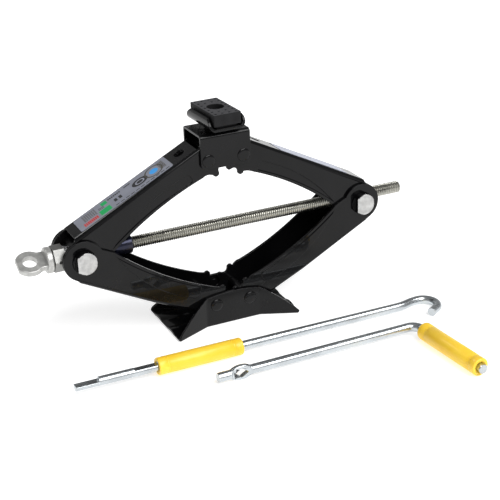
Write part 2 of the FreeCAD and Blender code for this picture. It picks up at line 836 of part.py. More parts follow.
def make_screw_eye():
    """A forged flat eye on a round flange; the stub of the screw seats in its socket."""
    body = new_body("screw_eye")
    centre = size("eye_centre") - size("flange_outer")
    # the eye, trimmed straight at its free end, and a neck that blends into it
    eye = size("eye_radius")
    cut = size("eye_end") - size("eye_centre")
    half_cut = math.sqrt(eye * eye - cut * cut)
    neck = 11.5
    root = 3
    blend = 5
    blend_x = -centre + math.sqrt((eye + blend) ** 2 - (neck + blend) ** 2)
    join_x = -centre + (blend_x + centre) * eye / (eye + blend)
    join_y = (neck + blend) * eye / (eye + blend)
    lean = math.atan2(join_x - blend_x, neck + blend - join_y) / 2
    mid = (blend_x + blend * math.sin(lean), neck + blend - blend * math.cos(lean))
    steps = [
        (-centre - cut, -half_cut),
        ((-centre, -eye), (join_x, -join_y)),
        ((mid[0], -mid[1]), (blend_x, -neck)),
        (root, -neck),
        (root, neck),
        (blend_x, neck),
        (mid, (join_x, join_y)),
        ((-centre, eye), (-centre - cut, half_cut)),
    ]
    sketch = new_sketch(body, "XY_Plane")
    draw_loop(sketch, (-centre - cut, half_cut), steps, close=False)
    pad(body, sketch, "Sizes.eye_thickness", both_ways=True)
    sketch = new_sketch(body, "XY_Plane")
    draw_circle(sketch, "Sizes.eye_hole_radius", "Sizes.flange_outer - Sizes.eye_centre")
    pocket(body, sketch, "40", both_ways=True)

    def eye_rim(middle, edge):
        on_face = abs(abs(middle.z) - size("eye_thickness") / 2) < 0.01
        reach = math.hypot(middle.x + centre, middle.y)
        return on_face and reach > size("eye_hole_radius") + 1
    soften(body, 1.3, eye_rim)

    sketch = new_sketch(body, "YZ_Plane")
    draw_circle(sketch, "Sizes.flange_radius")
    pad(body, sketch, "Sizes.flange_outer - Sizes.flange_inner")
    depth = size("flange_outer") - size("flange_inner")
    soften(body, 1.6, is_end_rim(0, depth, size("flange_radius")))

    sketch = new_sketch(body, "YZ_Plane", "Sizes.flange_outer - Sizes.flange_inner")
    draw_circle(sketch, "Sizes.screw_stub_radius")
    pocket(body, sketch, "Sizes.screw_stub_end - Sizes.flange_inner")
    tilt = Rotation(Vector(1, 0, 0), size("eye_tilt"))
    body.Placement = Placement(Vector(-size("flange_outer"), 0, axis_height), tilt)
    return body


def make_hex_nut():
    body = ring_on_screw(
        "hex_nut", None, "Sizes.screw_stub_radius", "-Sizes.nut_outer",
        "Sizes.nut_outer - Sizes.nut_inner", flats="Sizes.nut_flats",
    )
    middle = "(Sizes.nut_outer - Sizes.nut_inner) / 2"
    sketch = new_sketch(body, "XZ_Plane")
    draw_circle(sketch, "Sizes.pin_radius", middle)
    pocket(body, sketch, "40", both_ways=True)
    return body


def make_roll_pin():
    """Locks the nut to the screw's stub; it stops just inside the nut's flats."""
    body = new_body("roll_pin")
    sketch = new_sketch(body, "XZ_Plane")
    draw_circle(sketch, "Sizes.pin_radius")
    pad(body, sketch, "Sizes.nut_flats - 1", both_ways=True)
    middle = -(size("nut_outer") + size("nut_inner")) / 2
    body.Placement = Placement(Vector(middle, 0, axis_height), Rotation())
    return body


def make_ball_cage():
    """A flat cage ring with a round pocket for each ball."""
    label = "ball_cage"
    start = "-Sizes.nut_inner + Sizes.race_gauge + Sizes.ball_radius - 0.8"
    body = ring_on_screw(label, "Sizes.race_radius - 0.5", "Sizes.race_bore_radius", start, "1.6")
    sketch = new_sketch(body, "YZ_Plane")
    for n in range(int(size("ball_count"))):
        turn = 2 * math.pi * n / size("ball_count")
        y = size("ball_circle") * math.cos(turn)
        z = size("ball_circle") * math.sin(turn)
        draw_circle(sketch, "Sizes.ball_radius + 0.1", str(y), str(z))
    pocket(body, sketch, "10", reverse=True)
    return body


def make_bearing_balls():
    """The ring of steel balls, as separate solids in one part."""
    part = doc.addObject("Part::Feature", "bearing_balls")
    part.Label = "bearing_balls"
    balls = []
    for n in range(int(size("ball_count"))):
        turn = 2 * math.pi * n / size("ball_count")
        centre = Vector(0, size("ball_circle") * math.cos(turn), size("ball_circle") * math.sin(turn))
        balls.append(Part.makeSphere(size("ball_radius"), centre))
    part.Shape = Part.makeCompound(balls)
    x = -size("nut_inner") + size("race_gauge") + size("ball_radius")
    part.Placement = Placement(Vector(x, 0, axis_height), Rotation())
    return part


# --------------------------------------------------- hook rod and crank

def draw_runs(sketch, runs):
    """A centre line from the origin along +X: a run is a length, or a (radius, degrees) bend."""
    x, y, heading = 0.0, 0.0, 0.0
    steps = []
    for run in runs:
        if isinstance(run, tuple):
            radius, degrees = run
            side = math.copysign(1, degrees)
            centre_x = x - side * radius * math.sin(heading)
            centre_y = y + side * radius * math.cos(heading)
            turn = math.radians(degrees)
            arc = []
            for share in (0.5, 1):
                there = heading + share * turn
                arc.append((
                    centre_x + side * radius * math.sin(there),
                    centre_y - side * radius * math.cos(there),
                ))
            steps.append(tuple(arc))
            x, y = arc[1]
            heading += turn
        else:
            x += run * math.cos(heading)
            y += run * math.sin(heading)
            steps.append((x, y))
    draw_loop(sketch, (0, 0), steps, close=False)


def add_rod(body, radius, runs):
    """Sweep a round bar along its runs."""
    path = new_sketch(body, "XY_Plane")
    draw_runs(path, runs)
    profile = new_sketch(body, "YZ_Plane")
    draw_circle(profile, radius)
    doc.recompute()
    pipe = body.newObject("PartDesign::AdditivePipe", body.Label + "_pipe")
    pipe.Profile = profile
    pipe.Spine = (path, [f"Edge{n + 1}" for n in range(len(runs))])
    doc.recompute()


def hook_placement():
    """The hook rod rests on its grip's rim and on its hook."""
    level = Rotation(Vector(0, 0, 1), 1.18)
    return Placement(Vector(-214, -104.7, 13.17), level * Rotation(Vector(0, 1, 0), 1.08))


def make_hook_rod():
    """The pulling rod: a flat blade at one end and an offset hook at the other."""
    body = new_body("hook_rod")
    offset = size("hook_offset_turn")
    add_rod(body, "Sizes.hook_rod_radius", [
        size("hook_rod_reach"),
        (size("hook_offset_radius"), offset),
        (size("hook_offset_radius"), -offset),
        (size("hook_bend_radius"), -size("hook_turn")),
        size("hook_tail"),
    ])
    sketch = new_sketch(body, "XZ_Plane")
    draw_rectangle(sketch, "-1", "25", "1", "10")
    draw_rectangle(sketch, "64.5", "91", "3.4", "10")
    pocket(body, sketch, "40", both_ways=True)
    body.Placement = hook_placement()
    return body


def crank_placement():
    """The crank rests on its eye and on its grip."""
    level = Rotation(Vector(0, 0, 1), -0.5)
    return Placement(Vector(-75.5, -149.9, 8.15), level * Rotation(Vector(0, 1, 0), -0.453))


def make_crank_handle():
    """The cranking handle: a flattened upright eye near one end and a bent leg for the grip."""
    body = new_body("crank_handle")
    middle = size("crank_eye_centre")
    half_length = size("crank_eye_half_length")
    half_height = size("crank_eye_half_height")
    half_thickness = size("crank_eye_thickness") / 2
    sketch = new_sketch(body, "XZ_Plane")
    sketch.addGeometry(Part.Ellipse(Vector(middle, 0, 0), half_length, half_height))
    pad(body, sketch, "Sizes.crank_eye_thickness", both_ways=True)

    def eye_rim(middle_point, edge):
        return abs(abs(middle_point.y) - half_thickness) < 0.01
    soften(body, 1.6, eye_rim)
    add_rod(body, "Sizes.crank_rod_radius", [
        size("crank_reach"),
        (size("crank_bend_radius"), -size("crank_turn")),
        size("crank_leg"),
    ])

    # the bar is pressed flat where the eye is, with a short slope at each end
    flat = half_length - 4
    for side in (-1, 1):
        sketch = new_sketch(body, "XY_Plane")
        steps = [
            (middle - flat, side * half_thickness),
            (middle + flat, side * half_thickness),
            (middle + flat + 4, side * 6),
        ]
        draw_loop(sketch, (middle - flat - 4, side * 6), steps)
        pocket(body, sketch, "40", both_ways=True)

    slot_length = 8.4
    slot_height = 5.1
    sketch = new_sketch(body, "XZ_Plane")
    corners = [
        (middle - slot_length, 0),
        (middle, -slot_height),
        (middle + slot_length, 0),
        (middle, slot_height),
    ]
    draw_rounded(sketch, corners, [0.8] * 4)
    pocket(body, sketch, "40", both_ways=True)
    body.Placement = crank_placement()
    return body


def make_grip(label, radius, rod_radius, length, place):
    """A loose plastic tube that turns on its rod, with a countersunk mouth at each end."""
    body = new_body(label)
    sketch = new_sketch(body, "YZ_Plane")
    draw_circle(sketch, radius)
    bore = rod_radius + " + Sizes.running_gap"
    draw_circle(sketch, bore)
    pad(body, sketch, length)
    soften(body, 1.2, is_end_rim(0, value(length), value(radius)))
    soften(body, 1.5, is_end_rim(0, value(length), value(bore)), "Chamfer")
    body.Placement = place
    return body


# -------------------------------------------------------------- the assembly

def build():
    theta = size("rest_angle")
    pitch = size("tooth_pitch")
    left_teeth = [0, -pitch, -2 * pitch]
    right_teeth = [-pitch / 2, -1.5 * pitch, -2.5 * pitch]
    parts = [make_base_plate()]
    parts.append(make_arm("lower_arm_left", "lower", left_teeth, theta))
    parts.append(make_arm("lower_arm_right", "lower", right_teeth, theta))
    parts.append(make_arm("upper_arm_left", "upper", left_teeth, -theta))
    parts.append(make_arm("upper_arm_right", "upper", right_teeth, -theta))
    parts.append(make_label("rating_label", -1, 17.5, 138))
    parts.append(make_label("notice_label", 1, 30, 125))
    for name, x in (("left", -half_gap), ("right", half_gap)):
        parts.append(make_rivet(
            "base_rivet_" + name, "Sizes.base_width", "Sizes.base_head_rise",
            x, size("pivot_height"),
        ))
        parts.append(make_rivet(
            "top_rivet_" + name, "Sizes.bracket_width", "Sizes.bracket_head_rise",
            x, top_height,
        ))
    parts.append(make_top_bracket())
    parts.append(make_saddle_spacer())
    parts.append(make_saddle_plate())
    parts.append(make_saddle_rivet())
    parts.append(make_rubber_pad())

    left = make_trunnion("trunnion_left", "Sizes.seat_depth")
    left.Placement = Placement(Vector(-half_span, 0, axis_height), Rotation())
    right = make_trunnion("trunnion_right", "12")
    right.Placement = Placement(Vector(half_span, 0, axis_height), Rotation())
    parts += [left, right]

    parts.append(make_lift_screw())
    parts.append(make_screw_eye())
    parts.append(make_hex_nut())
    parts.append(make_roll_pin())
    parts.append(ring_on_screw(
        "bearing_race_outer", "Sizes.race_radius", "Sizes.race_bore_radius",
        "-Sizes.nut_inner", "Sizes.race_gauge",
    ))
    parts.append(make_ball_cage())
    parts.append(make_bearing_balls())
    seat = f"-{half_span} - Sizes.seat_depth - Sizes.race_gauge + 0.1"
    parts.append(ring_on_screw(
        "bearing_race_inner", "Sizes.race_radius", "Sizes.race_bore_radius",
        seat, "Sizes.race_gauge - 0.1",
    ))
    sleeve = ring_on_screw(
        "stop_sleeve", "Sizes.sleeve_radius", "Sizes.screw_radius",
        "-Sizes.sleeve_start", "Sizes.sleeve_start - Sizes.sleeve_end",
    )
    length = size("sleeve_start") - size("sleeve_end")
    soften(sleeve, 1.0, is_end_rim(0, length, size("sleeve_radius")))
    parts.append(sleeve)

    parts.append(make_hook_rod())
    start = Placement(Vector(size("hook_grip_start"), 0, 0), Rotation())
    parts.append(make_grip(
        "hook_grip", "Sizes.hook_grip_radius", "Sizes.hook_rod_radius",
        "Sizes.hook_grip_length", hook_placement() * start,
    ))
    parts.append(make_crank_handle())
    turn = size("crank_turn")
    swing = math.radians(turn)
    bend = size("crank_bend_radius")
    start = size("crank_grip_start")
    leg_x = size("crank_reach") + bend * math.sin(swing) + start * math.cos(swing)
    leg_y = -bend * (1 - math.cos(swing)) - start * math.sin(swing)
    on_leg = Placement(Vector(leg_x, leg_y, 0), Rotation(Vector(0, 0, 1), -turn))
    parts.append(make_grip(
        "crank_grip", "Sizes.crank_grip_radius", "Sizes.crank_rod_radius",
        "Sizes.crank_grip_length", crank_placement() * on_leg,
    ))
    return parts


def check(parts):
    """Stop if any object failed to recompute or any part is empty or broken."""
    doc.recompute()
    for item in doc.Objects:
        if "Invalid" in item.State or "Error" in item.State:
            raise RuntimeError(item.Label + " failed to recompute")
    for part in parts:
        if part.Shape.isNull() or not part.Shape.isValid():
            raise RuntimeError(part.Label + " has no valid shape")


def write(parts):
    os.makedirs("parts", exist_ok=True)
    for part in parts:
        part.Shape.exportStep("parts/" + part.Label + ".step")
        print(part.Label, len(part.Shape.Solids), round(part.Shape.Volume))


all_parts = build()
check(all_parts)
write(all_parts)
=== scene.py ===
import json
import math
from collections import namedtuple

import bmesh
import bpy
import numpy as np
from bpy.props import FloatProperty, FloatVectorProperty, IntProperty, PointerProperty
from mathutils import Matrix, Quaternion, Vector
from mathutils.bvhtree import BVHTree


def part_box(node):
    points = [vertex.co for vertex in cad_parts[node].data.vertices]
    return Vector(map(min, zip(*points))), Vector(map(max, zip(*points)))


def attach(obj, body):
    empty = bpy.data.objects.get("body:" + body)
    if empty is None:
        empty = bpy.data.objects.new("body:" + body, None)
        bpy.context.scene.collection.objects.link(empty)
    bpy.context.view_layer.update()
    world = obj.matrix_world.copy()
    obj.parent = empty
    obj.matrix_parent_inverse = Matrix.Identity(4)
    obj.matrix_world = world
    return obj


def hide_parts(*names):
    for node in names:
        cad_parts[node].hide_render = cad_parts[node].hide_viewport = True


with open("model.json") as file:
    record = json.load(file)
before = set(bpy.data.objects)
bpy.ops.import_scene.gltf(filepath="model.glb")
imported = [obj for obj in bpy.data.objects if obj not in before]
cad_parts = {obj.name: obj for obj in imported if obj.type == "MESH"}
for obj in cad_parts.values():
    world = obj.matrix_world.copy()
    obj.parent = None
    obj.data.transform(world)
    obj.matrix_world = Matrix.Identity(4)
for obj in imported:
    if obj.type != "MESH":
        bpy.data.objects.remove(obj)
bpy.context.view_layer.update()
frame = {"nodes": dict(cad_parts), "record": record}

bl_info = {
    "name": "Scissor Stabilizer Jack",
    "version": (1, 0, 0),
    "blender": (4, 5, 0),
    "location": "View3D > Sidebar > Jack",
    "description": "Builds the visible model of a scissor stabilizer jack and its two tools",
    "category": "Add Mesh",
}

MM = 0.001
STRAY_SHARE = 0.6    # no point lies further off the true surface than this share of a rounding
GRIP_FACETS = 64
FLOOR_HALF = 8.0     # metres from the middle of the floor to its sides
SENSOR_WIDTH = 36.0  # millimetres
NEAREST_SEEN = 0.05
FARTHEST_SEEN = 50.0

# The room's grey by height: (share of the way from the horizon to overhead, grey).
ROOM_GREYS = ((0.0, 0.70), (0.20, 0.52), (0.45, 0.30), (0.75, 0.22), (1.0, 0.30))

# Where each light stands, seen from the middle of the floor.
FRONT_SOFTBOX = (0.25, -1.0, 1.15)
RIGHT_STRIP = (0.9, -0.5, 1.3)
BACK_STRIP = (-0.5, 1.0, 1.0)


# ---------------------------------------------------------------- settings

def size_in_mm(name, description, default):
    """A length setting, given in millimetres and kept in metres."""
    return FloatProperty(
        name=name, description=description, default=default * MM,
        min=0.0, precision=5, unit="LENGTH",
    )


def colour(name, description, default):
    return FloatVectorProperty(
        name=name, description=description, default=default,
        size=3, min=0.0, max=1.0, subtype="COLOR",
    )


class JackSizes(bpy.types.PropertyGroup):
    """Sizes of the details that finish the jack's shape."""

    sheet_edge: size_in_mm("Sheet edge", "Rounding of the pressed sheet's edges", 0.5)
    turned_edge: size_in_mm("Turned edge", "Rounding of turned and forged edges", 0.4)
    rubber_edge: size_in_mm("Rubber edge", "Rounding of the pad's moulded edges", 0.5)
    edge_steps: IntProperty(
        name="Edge steps", description="Faces across a rounded edge", default=3, min=1, max=6,
    )
    thread_pitch: size_in_mm("Thread pitch", "Advance of the lift screw in one turn", 2.5)
    thread_depth: size_in_mm("Thread depth", "Depth of the lift screw's thread", 1.0)
    thread_facets: IntProperty(
        name="Thread facets", description="Faces round the screw", default=32, min=12, max=64,
    )
    thread_rows: IntProperty(
        name="Thread rows", description="Rows of faces in one turn of thread",
        default=8, min=6, max=16,
    )
    rivet_shank: size_in_mm("Rivet shank", "Radius of a pivot rivet's shank", 6.0)
    rivet_head: size_in_mm("Rivet head", "Radius of a pivot rivet's head", 7.4)
    base_head_rise: size_in_mm("Base head rise", "Height of the base rivets' heads", 2.2)
    top_head_rise: size_in_mm("Top head rise", "Height of the top rivets' heads", 1.6)
    ball_count: IntProperty(
        name="Ball count", description="Balls in the thrust bearing", default=12, min=3, max=24,
    )
    hook_grip_radius: size_in_mm("Hook grip", "Radius of the hook rod's grip", 9.5)
    hook_grip_bore: size_in_mm("Hook grip bore", "Radius of the hook rod grip's bore", 5.1)
    crank_grip_radius: size_in_mm("Crank grip", "Radius of the crank handle's grip", 10.0)
    crank_grip_bore: size_in_mm("Crank grip bore", "Radius of the crank grip's bore", 5.3)
    grip_rim: size_in_mm("Grip rim", "Rounding of a grip's outer rims", 1.4)
    grip_mouth: size_in_mm("Grip mouth", "Depth of the countersink in a grip's ends", 1.5)
    grip_ring: size_in_mm("Grip ring", "Depth of the two rings near each end of a grip", 0.3)
    grip_ring_width: size_in_mm("Grip ring width", "Width of one ring in a grip", 1.0)
    first_ring: size_in_mm("First ring", "From a grip's end to its first ring", 9.0)
    second_ring: size_in_mm("Second ring", "From a grip's end to its second ring", 11.0)


class JackColours(bpy.types.PropertyGroup):
    """Base colours of the jack's finishes."""

    paint: colour("Paint", "Gloss black lacquer on the pressed parts", (0.0026, 0.0026, 0.0029))
    zinc: colour("Zinc", "Plating of the eye, flange and nut", (0.50, 0.50, 0.485))
    tool: colour("Tool plating", "Plating of the two loose tools", (0.50, 0.53, 0.55))
    screw: colour("Screw", "Yellowish plating of the lift screw", (0.47, 0.465, 0.42))
    # Painted shade: the colour that the thread is darkened towards in its roots.
    thread_root_shade: colour("Grease", "Film in the roots of the thread", (0.05, 0.042, 0.03))
    bare: colour("Bare steel", "Cut ends of the cross bars", (0.50, 0.50, 0.495))
    sleeve: colour("Blued steel", "The stop sleeve on the screw", (0.012, 0.016, 0.04))
    rubber: colour("Rubber", "The pad on the saddle", (0.010, 0.010, 0.0108))
    plastic: colour("Plastic", "The grips of the two tools", (0.96, 0.62, 0.03))
    bearing: colour("Bearing steel", "Races, balls and cage", (0.66, 0.66, 0.67))
    film: colour("Label film", "Ground of the printed label", (0.20, 0.21, 0.25))


class JackStage(bpy.types.PropertyGroup):
    """Camera and light."""

    azimuth: FloatProperty(
        name="Azimuth", description="Turn of the camera round the jack",
        default=math.radians(-24.572), subtype="ANGLE",
    )
    elevation: FloatProperty(
        name="Elevation", description="Height of the camera above the ground plane",
        default=math.radians(23.690), subtype="ANGLE",
    )
    roll: FloatProperty(
        name="Roll", description="Turn of the camera about its own line of sight",
        default=math.radians(-2.115), subtype="ANGLE",
    )
    lens: FloatProperty(
        name="Lens", description="Focal length for a 36 mm sensor", default=89.27, min=10.0,
    )
    camera_place: FloatVectorProperty(
        name="Camera place", description="Where the camera stands",
        default=(-0.504885, -1.180452, 0.640034), subtype="TRANSLATION", unit="LENGTH",
    )
    key_power: FloatProperty(
        name="Front light", description="Strength of the wide light over the camera",
        default=2.5, min=0.0,
    )
    key_spread: FloatProperty(
        name="Front spread", description="Apparent width of the front light",
        default=math.radians(42.0), subtype="ANGLE",
    )
    rim_power: FloatProperty(
        name="Strip light", description="Strength of each small bright light",
        default=0.45, min=0.0,
    )
    rim_spread: FloatProperty(
        name="Strip spread", description="Apparent width of each small bright light",
        default=math.radians(13.0), subtype="ANGLE",
    )
    sky: FloatProperty(
        name="Room light", description="Strength of the even light of the room",
        default=1.0, min=0.0,
    )


# ------------------------------------------------------------ tree helpers

class Tree:
    """Adds nodes to one node tree and wires them."""

    def __init__(self, tree):
        self.tree = tree

    def add(self, kind, inputs=None, **settings):
        node = self.tree.nodes.new(kind)
        for key, setting in settings.items():
            setattr(node, key, setting)
        for key, source in (inputs or {}).items():
            self.feed(node.inputs[key], source)
        return node

    def feed(self, socket, source):
        if isinstance(source, bpy.types.NodeSocket):
            self.tree.links.new(source, socket)
        else:
            socket.default_value = source

    def maths(self, operation, first, second=0.0, third=0.0):
        node = self.add("ShaderNodeMath", {0: first, 1: second, 2: third}, operation=operation)
        return node.outputs[0]


class Finish(Tree):
    """A material with one Principled shader; even values go straight on its sockets."""

    def __init__(self, name, sockets):
        self.material = bpy.data.materials.new(name)
        self.material.use_nodes = True
        super().__init__(self.material.node_tree)
        self.shader = self.tree.nodes["Principled BSDF"]
        for socket, number in sockets.items():
            self.shader.inputs[socket].default_value = number

    def place(self, scale=(1, 1, 1)):
        """Object coordinates, stretched along any axis."""
        coordinates = self.add("ShaderNodeTexCoord")
        mapping = self.add("ShaderNodeMapping", {
            "Vector": coordinates.outputs["Object"], "Scale": scale,
        })
        return mapping.outputs[0]

    def noise(self, where, scale, detail=3.0, roughness=0.5):
        node = self.add("ShaderNodeTexNoise", {
            "Vector": where, "Scale": scale, "Detail": detail, "Roughness": roughness,
        })
        return node.outputs["Fac"]

    def spread(self, source, span, to_span):
        """Map one span of values to another, and stop at its ends."""
        node = self.add("ShaderNodeMapRange", {
            "Value": source, "From Min": span[0], "From Max": span[1],
            "To Min": to_span[0], "To Max": to_span[1],
        })
        return node.outputs[0]

    def blend(self, share, first, second):
        """Mix two colours; each is a colour or another node's output."""
        node = self.add("ShaderNodeMix", data_type="RGBA", blend_type="MIX")
        self.feed(node.inputs["Factor"], share)
        for socket, tone in ((node.inputs[6], first), (node.inputs[7], second)):
            self.feed(socket, (*tone, 1.0) if isinstance(tone, tuple) else tone)
        return node.outputs[2]

    def relief(self, height, strength, depth, under=None):
        """Bump from a height; it may lie on top of another bump."""
        inputs = {"Height": height, "Strength": strength, "Distance": depth}
        if under is not None:
            inputs["Normal"] = under
        return self.add("ShaderNodeBump", inputs).outputs[0]

    def drive(self, **sources):
        """Wire patterns to the shader, by the socket's name with _ for spaces."""
        for name, source in sources.items():
            self.feed(self.shader.inputs[name.replace("_", " ")], source)


def shade(tone, factor):
    """A colour made lighter or darker."""
    return tuple(min(1.0, channel * factor) for channel in tone)


# --------------------------------------------------------------- materials

def black_lacquer(tone):
    """Dipped gloss lacquer: orange peel, slow thickness changes and a little dust."""
    finish = Finish("black_lacquer", {
        "Metallic": 0.0, "IOR": 1.5, "Specular IOR Level": 0.05,
        "Coat Weight": 0.34, "Coat Roughness": 0.04,
    })
    where = finish.place()
    cloud = finish.noise(where, scale=22.0, detail=4.0)
    peel = finish.noise(where, scale=420.0, detail=2.0)
    dust = finish.noise(where, scale=2600.0, detail=3.0, roughness=0.7)
    tones = finish.blend(
        finish.spread(cloud, (0.35, 0.65), (0.0, 1.0)), shade(tone, 0.7), shade(tone, 1.4),
    )
    specks = finish.spread(dust, (0.68, 0.76), (0.0, 0.35))
    finish.drive(
        Base_Color=finish.blend(specks, tones, (0.03, 0.03, 0.03)),
        Roughness=finish.spread(cloud, (0.3, 0.7), (0.20, 0.30)),
        Normal=finish.relief(peel, strength=0.05, depth=0.4 * MM),
    )
    return finish.material


def plated(name, tone, patches, roughness):
    """Electroplated steel: crystalline patches, faint yellow bloom and fine drawing marks."""
    finish = Finish(name, {"Metallic": 1.0, "IOR": 1.5})
    where = finish.place()
    drawn = finish.noise(finish.place(scale=(1.0, 14.0, 14.0)), scale=160.0, detail=3.0)
    bloom = finish.noise(where, scale=patches, detail=4.0, roughness=0.6)
    grain = finish.noise(where, scale=1500.0, detail=2.0)
    tones = finish.blend(
        finish.spread(bloom, (0.35, 0.7), (0.0, 1.0)), shade(tone, 0.9), shade(tone, 1.16),
    )
    warm = (tone[0] * 1.04, tone[1] * 0.98, tone[2] * 0.84)
    finish.drive(
        Base_Color=finish.blend(finish.spread(bloom, (0.58, 0.78), (0.0, 0.5)), tones, warm),
        Roughness=finish.spread(drawn, (0.3, 0.7), (roughness - 0.05, roughness + 0.07)),
        Normal=finish.relief(
            grain, strength=0.05, depth=0.15 * MM,
            under=finish.relief(drawn, strength=0.05, depth=0.2 * MM),
        ),
    )
    return finish.material


def forged_zinc(tone):
    """Plating over a forged skin: shallow lumps under a soft grain."""
    finish = Finish("forged_zinc", {"Metallic": 0.7, "IOR": 1.5, "Specular IOR Level": 0.3})
    where = finish.place()
    lumps = finish.noise(where, scale=130.0, detail=3.0, roughness=0.6)
    grain = finish.noise(where, scale=1100.0, detail=3.0, roughness=0.6)
    hollow = finish.spread(lumps, (0.3, 0.7), (0.0, 1.0))
    finish.drive(
        Base_Color=finish.blend(hollow, shade(tone, 0.70), shade(tone, 1.10)),
        Roughness=finish.spread(grain, (0.3, 0.7), (0.30, 0.46)),
        Normal=finish.relief(
            grain, strength=0.12, depth=0.15 * MM,
            under=finish.relief(lumps, strength=0.35, depth=0.7 * MM),
        ),
    )
    return finish.material


def cut_steel(tone):
    """A bare sawn and faced end: fine rings about the cross bar's own axis."""
    finish = Finish("cut_steel", {"Metallic": 1.0, "IOR": 1.5})
    where = finish.place()
    flat = finish.noise(finish.place(scale=(1.0, 1.0, 9.0)), scale=700.0, detail=3.0)
    stain = finish.noise(where, scale=190.0, detail=3.0)
    finish.drive(
        Base_Color=finish.blend(
            finish.spread(stain, (0.35, 0.7), (0.0, 1.0)), shade(tone, 0.85), shade(tone, 1.15),
        ),
        Roughness=finish.spread(flat, (0.3, 0.7), (0.42, 0.58)),
        Normal=finish.relief(flat, strength=0.12, depth=0.1 * MM),
    )
    return finish.material


def screw_plating(tone, thread_root_shade, axis_height, crest, root):
    """Rolled thread: bright crests, and a colour darkened towards the roots as painted shade."""
    finish = Finish("screw_plating", {"Metallic": 1.0, "IOR": 1.5})
    coordinates = finish.add("ShaderNodeTexCoord")
    parts = finish.add("ShaderNodeSeparateXYZ", {0: coordinates.outputs["Object"]})
    rise = finish.maths("SUBTRACT", parts.outputs["Z"], axis_height)
    squares = finish.maths(
        "ADD", finish.maths("MULTIPLY", parts.outputs["Y"], parts.outputs["Y"]),
        finish.maths("MULTIPLY", rise, rise),
    )
    reach = finish.maths("SQRT", squares)
    # Painted shade: strongest at the thread's roots, gone six tenths of the way to the crests.
    film = finish.spread(reach, (root, root + 0.6 * (crest - root)), (0.7, 0.0))
    smear = finish.noise(finish.place(), scale=60.0, detail=4.0, roughness=0.6)
    film = finish.maths("MULTIPLY", film, finish.spread(smear, (0.25, 0.65), (0.45, 1.0)))
    bright = finish.blend(
        finish.spread(smear, (0.35, 0.7), (0.0, 1.0)), shade(tone, 0.85), shade(tone, 1.2),
    )
    scuffs = finish.noise(finish.place(), scale=1800.0, detail=2.0)
    finish.drive(
        Base_Color=finish.blend(film, bright, tuple(thread_root_shade)),
        Roughness=finish.spread(smear, (0.3, 0.7), (0.20, 0.34)),
        Normal=finish.relief(scuffs, strength=0.06, depth=0.12 * MM),
    )
    return finish.material


def blued_steel(tone):
    """Heat-blued sleeve: glossy, with lengthwise polish and a blue and straw drift."""
    finish = Finish("blued_steel", {"Metallic": 0.75, "IOR": 1.5})
    drift = finish.noise(finish.place(), scale=55.0, detail=3.0)
    polish = finish.noise(finish.place(scale=(1.0, 20.0, 20.0)), scale=120.0, detail=2.0)
    straw = (tone[0] * 3.0, tone[1] * 2.0, tone[2] * 0.8)
    finish.drive(
        Base_Color=finish.blend(finish.spread(drift, (0.4, 0.7), (0.0, 0.7)), tuple(tone), straw),
        Roughness=finish.spread(polish, (0.3, 0.7), (0.14, 0.26)),
        Normal=finish.relief(polish, strength=0.04, depth=0.1 * MM),
    )
    return finish.material


def polished_steel(tone):
    """Ground bearing steel under an oil film."""
    finish = Finish("polished_steel", {"Metallic": 1.0, "IOR": 1.5})
    oil = finish.noise(finish.place(), scale=240.0, detail=3.0)
    finish.drive(
        Base_Color=finish.blend(
            finish.spread(oil, (0.4, 0.7), (0.0, 0.6)), shade(tone, 1.0), shade(tone, 0.55),
        ),
        Roughness=finish.spread(oil, (0.3, 0.7), (0.12, 0.30)),
        Normal=finish.relief(
            finish.noise(finish.place(), scale=2200.0, detail=1.0),
            strength=0.03, depth=0.1 * MM,
        ),
    )
    return finish.material


def moulded_rubber(tone):
    """Dense black rubber with a matt moulded grain; its upward faces get painted light, a colour
    several times lighter than the sides.
    """
    finish = Finish("moulded_rubber", {"Metallic": 0.0, "IOR": 1.5, "Specular IOR Level": 0.16})
    where = finish.place()
    grain = finish.noise(where, scale=1400.0, detail=4.0, roughness=0.65)
    patch = finish.noise(where, scale=95.0, detail=3.0)
    facing = finish.add("ShaderNodeNewGeometry").outputs["True Normal"]
    upward = finish.add("ShaderNodeSeparateXYZ", {0: facing}).outputs["Z"]
    side_tone = finish.blend(
        finish.spread(patch, (0.3, 0.7), (0.0, 1.0)), shade(tone, 0.8), shade(tone, 1.3),
    )
    # Painted light: the upward faces are coloured 4.5 to 6.5 times lighter than the sides.
    lit_top_tone = finish.blend(
        finish.spread(patch, (0.3, 0.7), (0.0, 1.0)), shade(tone, 4.5), shade(tone, 6.5),
    )
    finish.drive(
        # Painted light: faces that point up take the lighter top colour.
        Base_Color=finish.blend(finish.spread(upward, (0.7, 0.95), (0.0, 1.0)), side_tone, lit_top_tone),
        Roughness=finish.spread(grain, (0.3, 0.7), (0.55, 0.78)),
        Normal=finish.relief(grain, strength=0.25, depth=0.12 * MM),
    )
    return finish.material


def grip_plastic(tone):
    """Soft extruded plastic: lengthwise flow lines and a shallow inner glow."""
    finish = Finish("grip_plastic", {
        "Metallic": 0.0, "IOR": 1.46, "Specular IOR Level": 0.5,
        "Subsurface Weight": 0.06, "Subsurface Scale": 2.0 * MM,
        "Subsurface Radius": (1.0, 0.6, 0.1), "Coat Weight": 0.15, "Coat Roughness": 0.25,
    })
    where = finish.place()
    cloud = finish.noise(where, scale=45.0, detail=3.0)
    flow = finish.noise(where, scale=650.0, detail=3.0)
    deep = (tone[0] * 0.98, tone[1] * 0.93, tone[2] * 0.7)
    light = (min(1.0, tone[0] * 1.02), tone[1] * 1.08, tone[2] * 1.9)
    finish.drive(
        Base_Color=finish.blend(finish.spread(cloud, (0.3, 0.7), (0.0, 1.0)), deep, light),
        Roughness=finish.spread(flow, (0.3, 0.7), (0.34, 0.46)),
        Normal=finish.relief(flow, strength=0.06, depth=0.2 * MM),
    )
    return finish.material


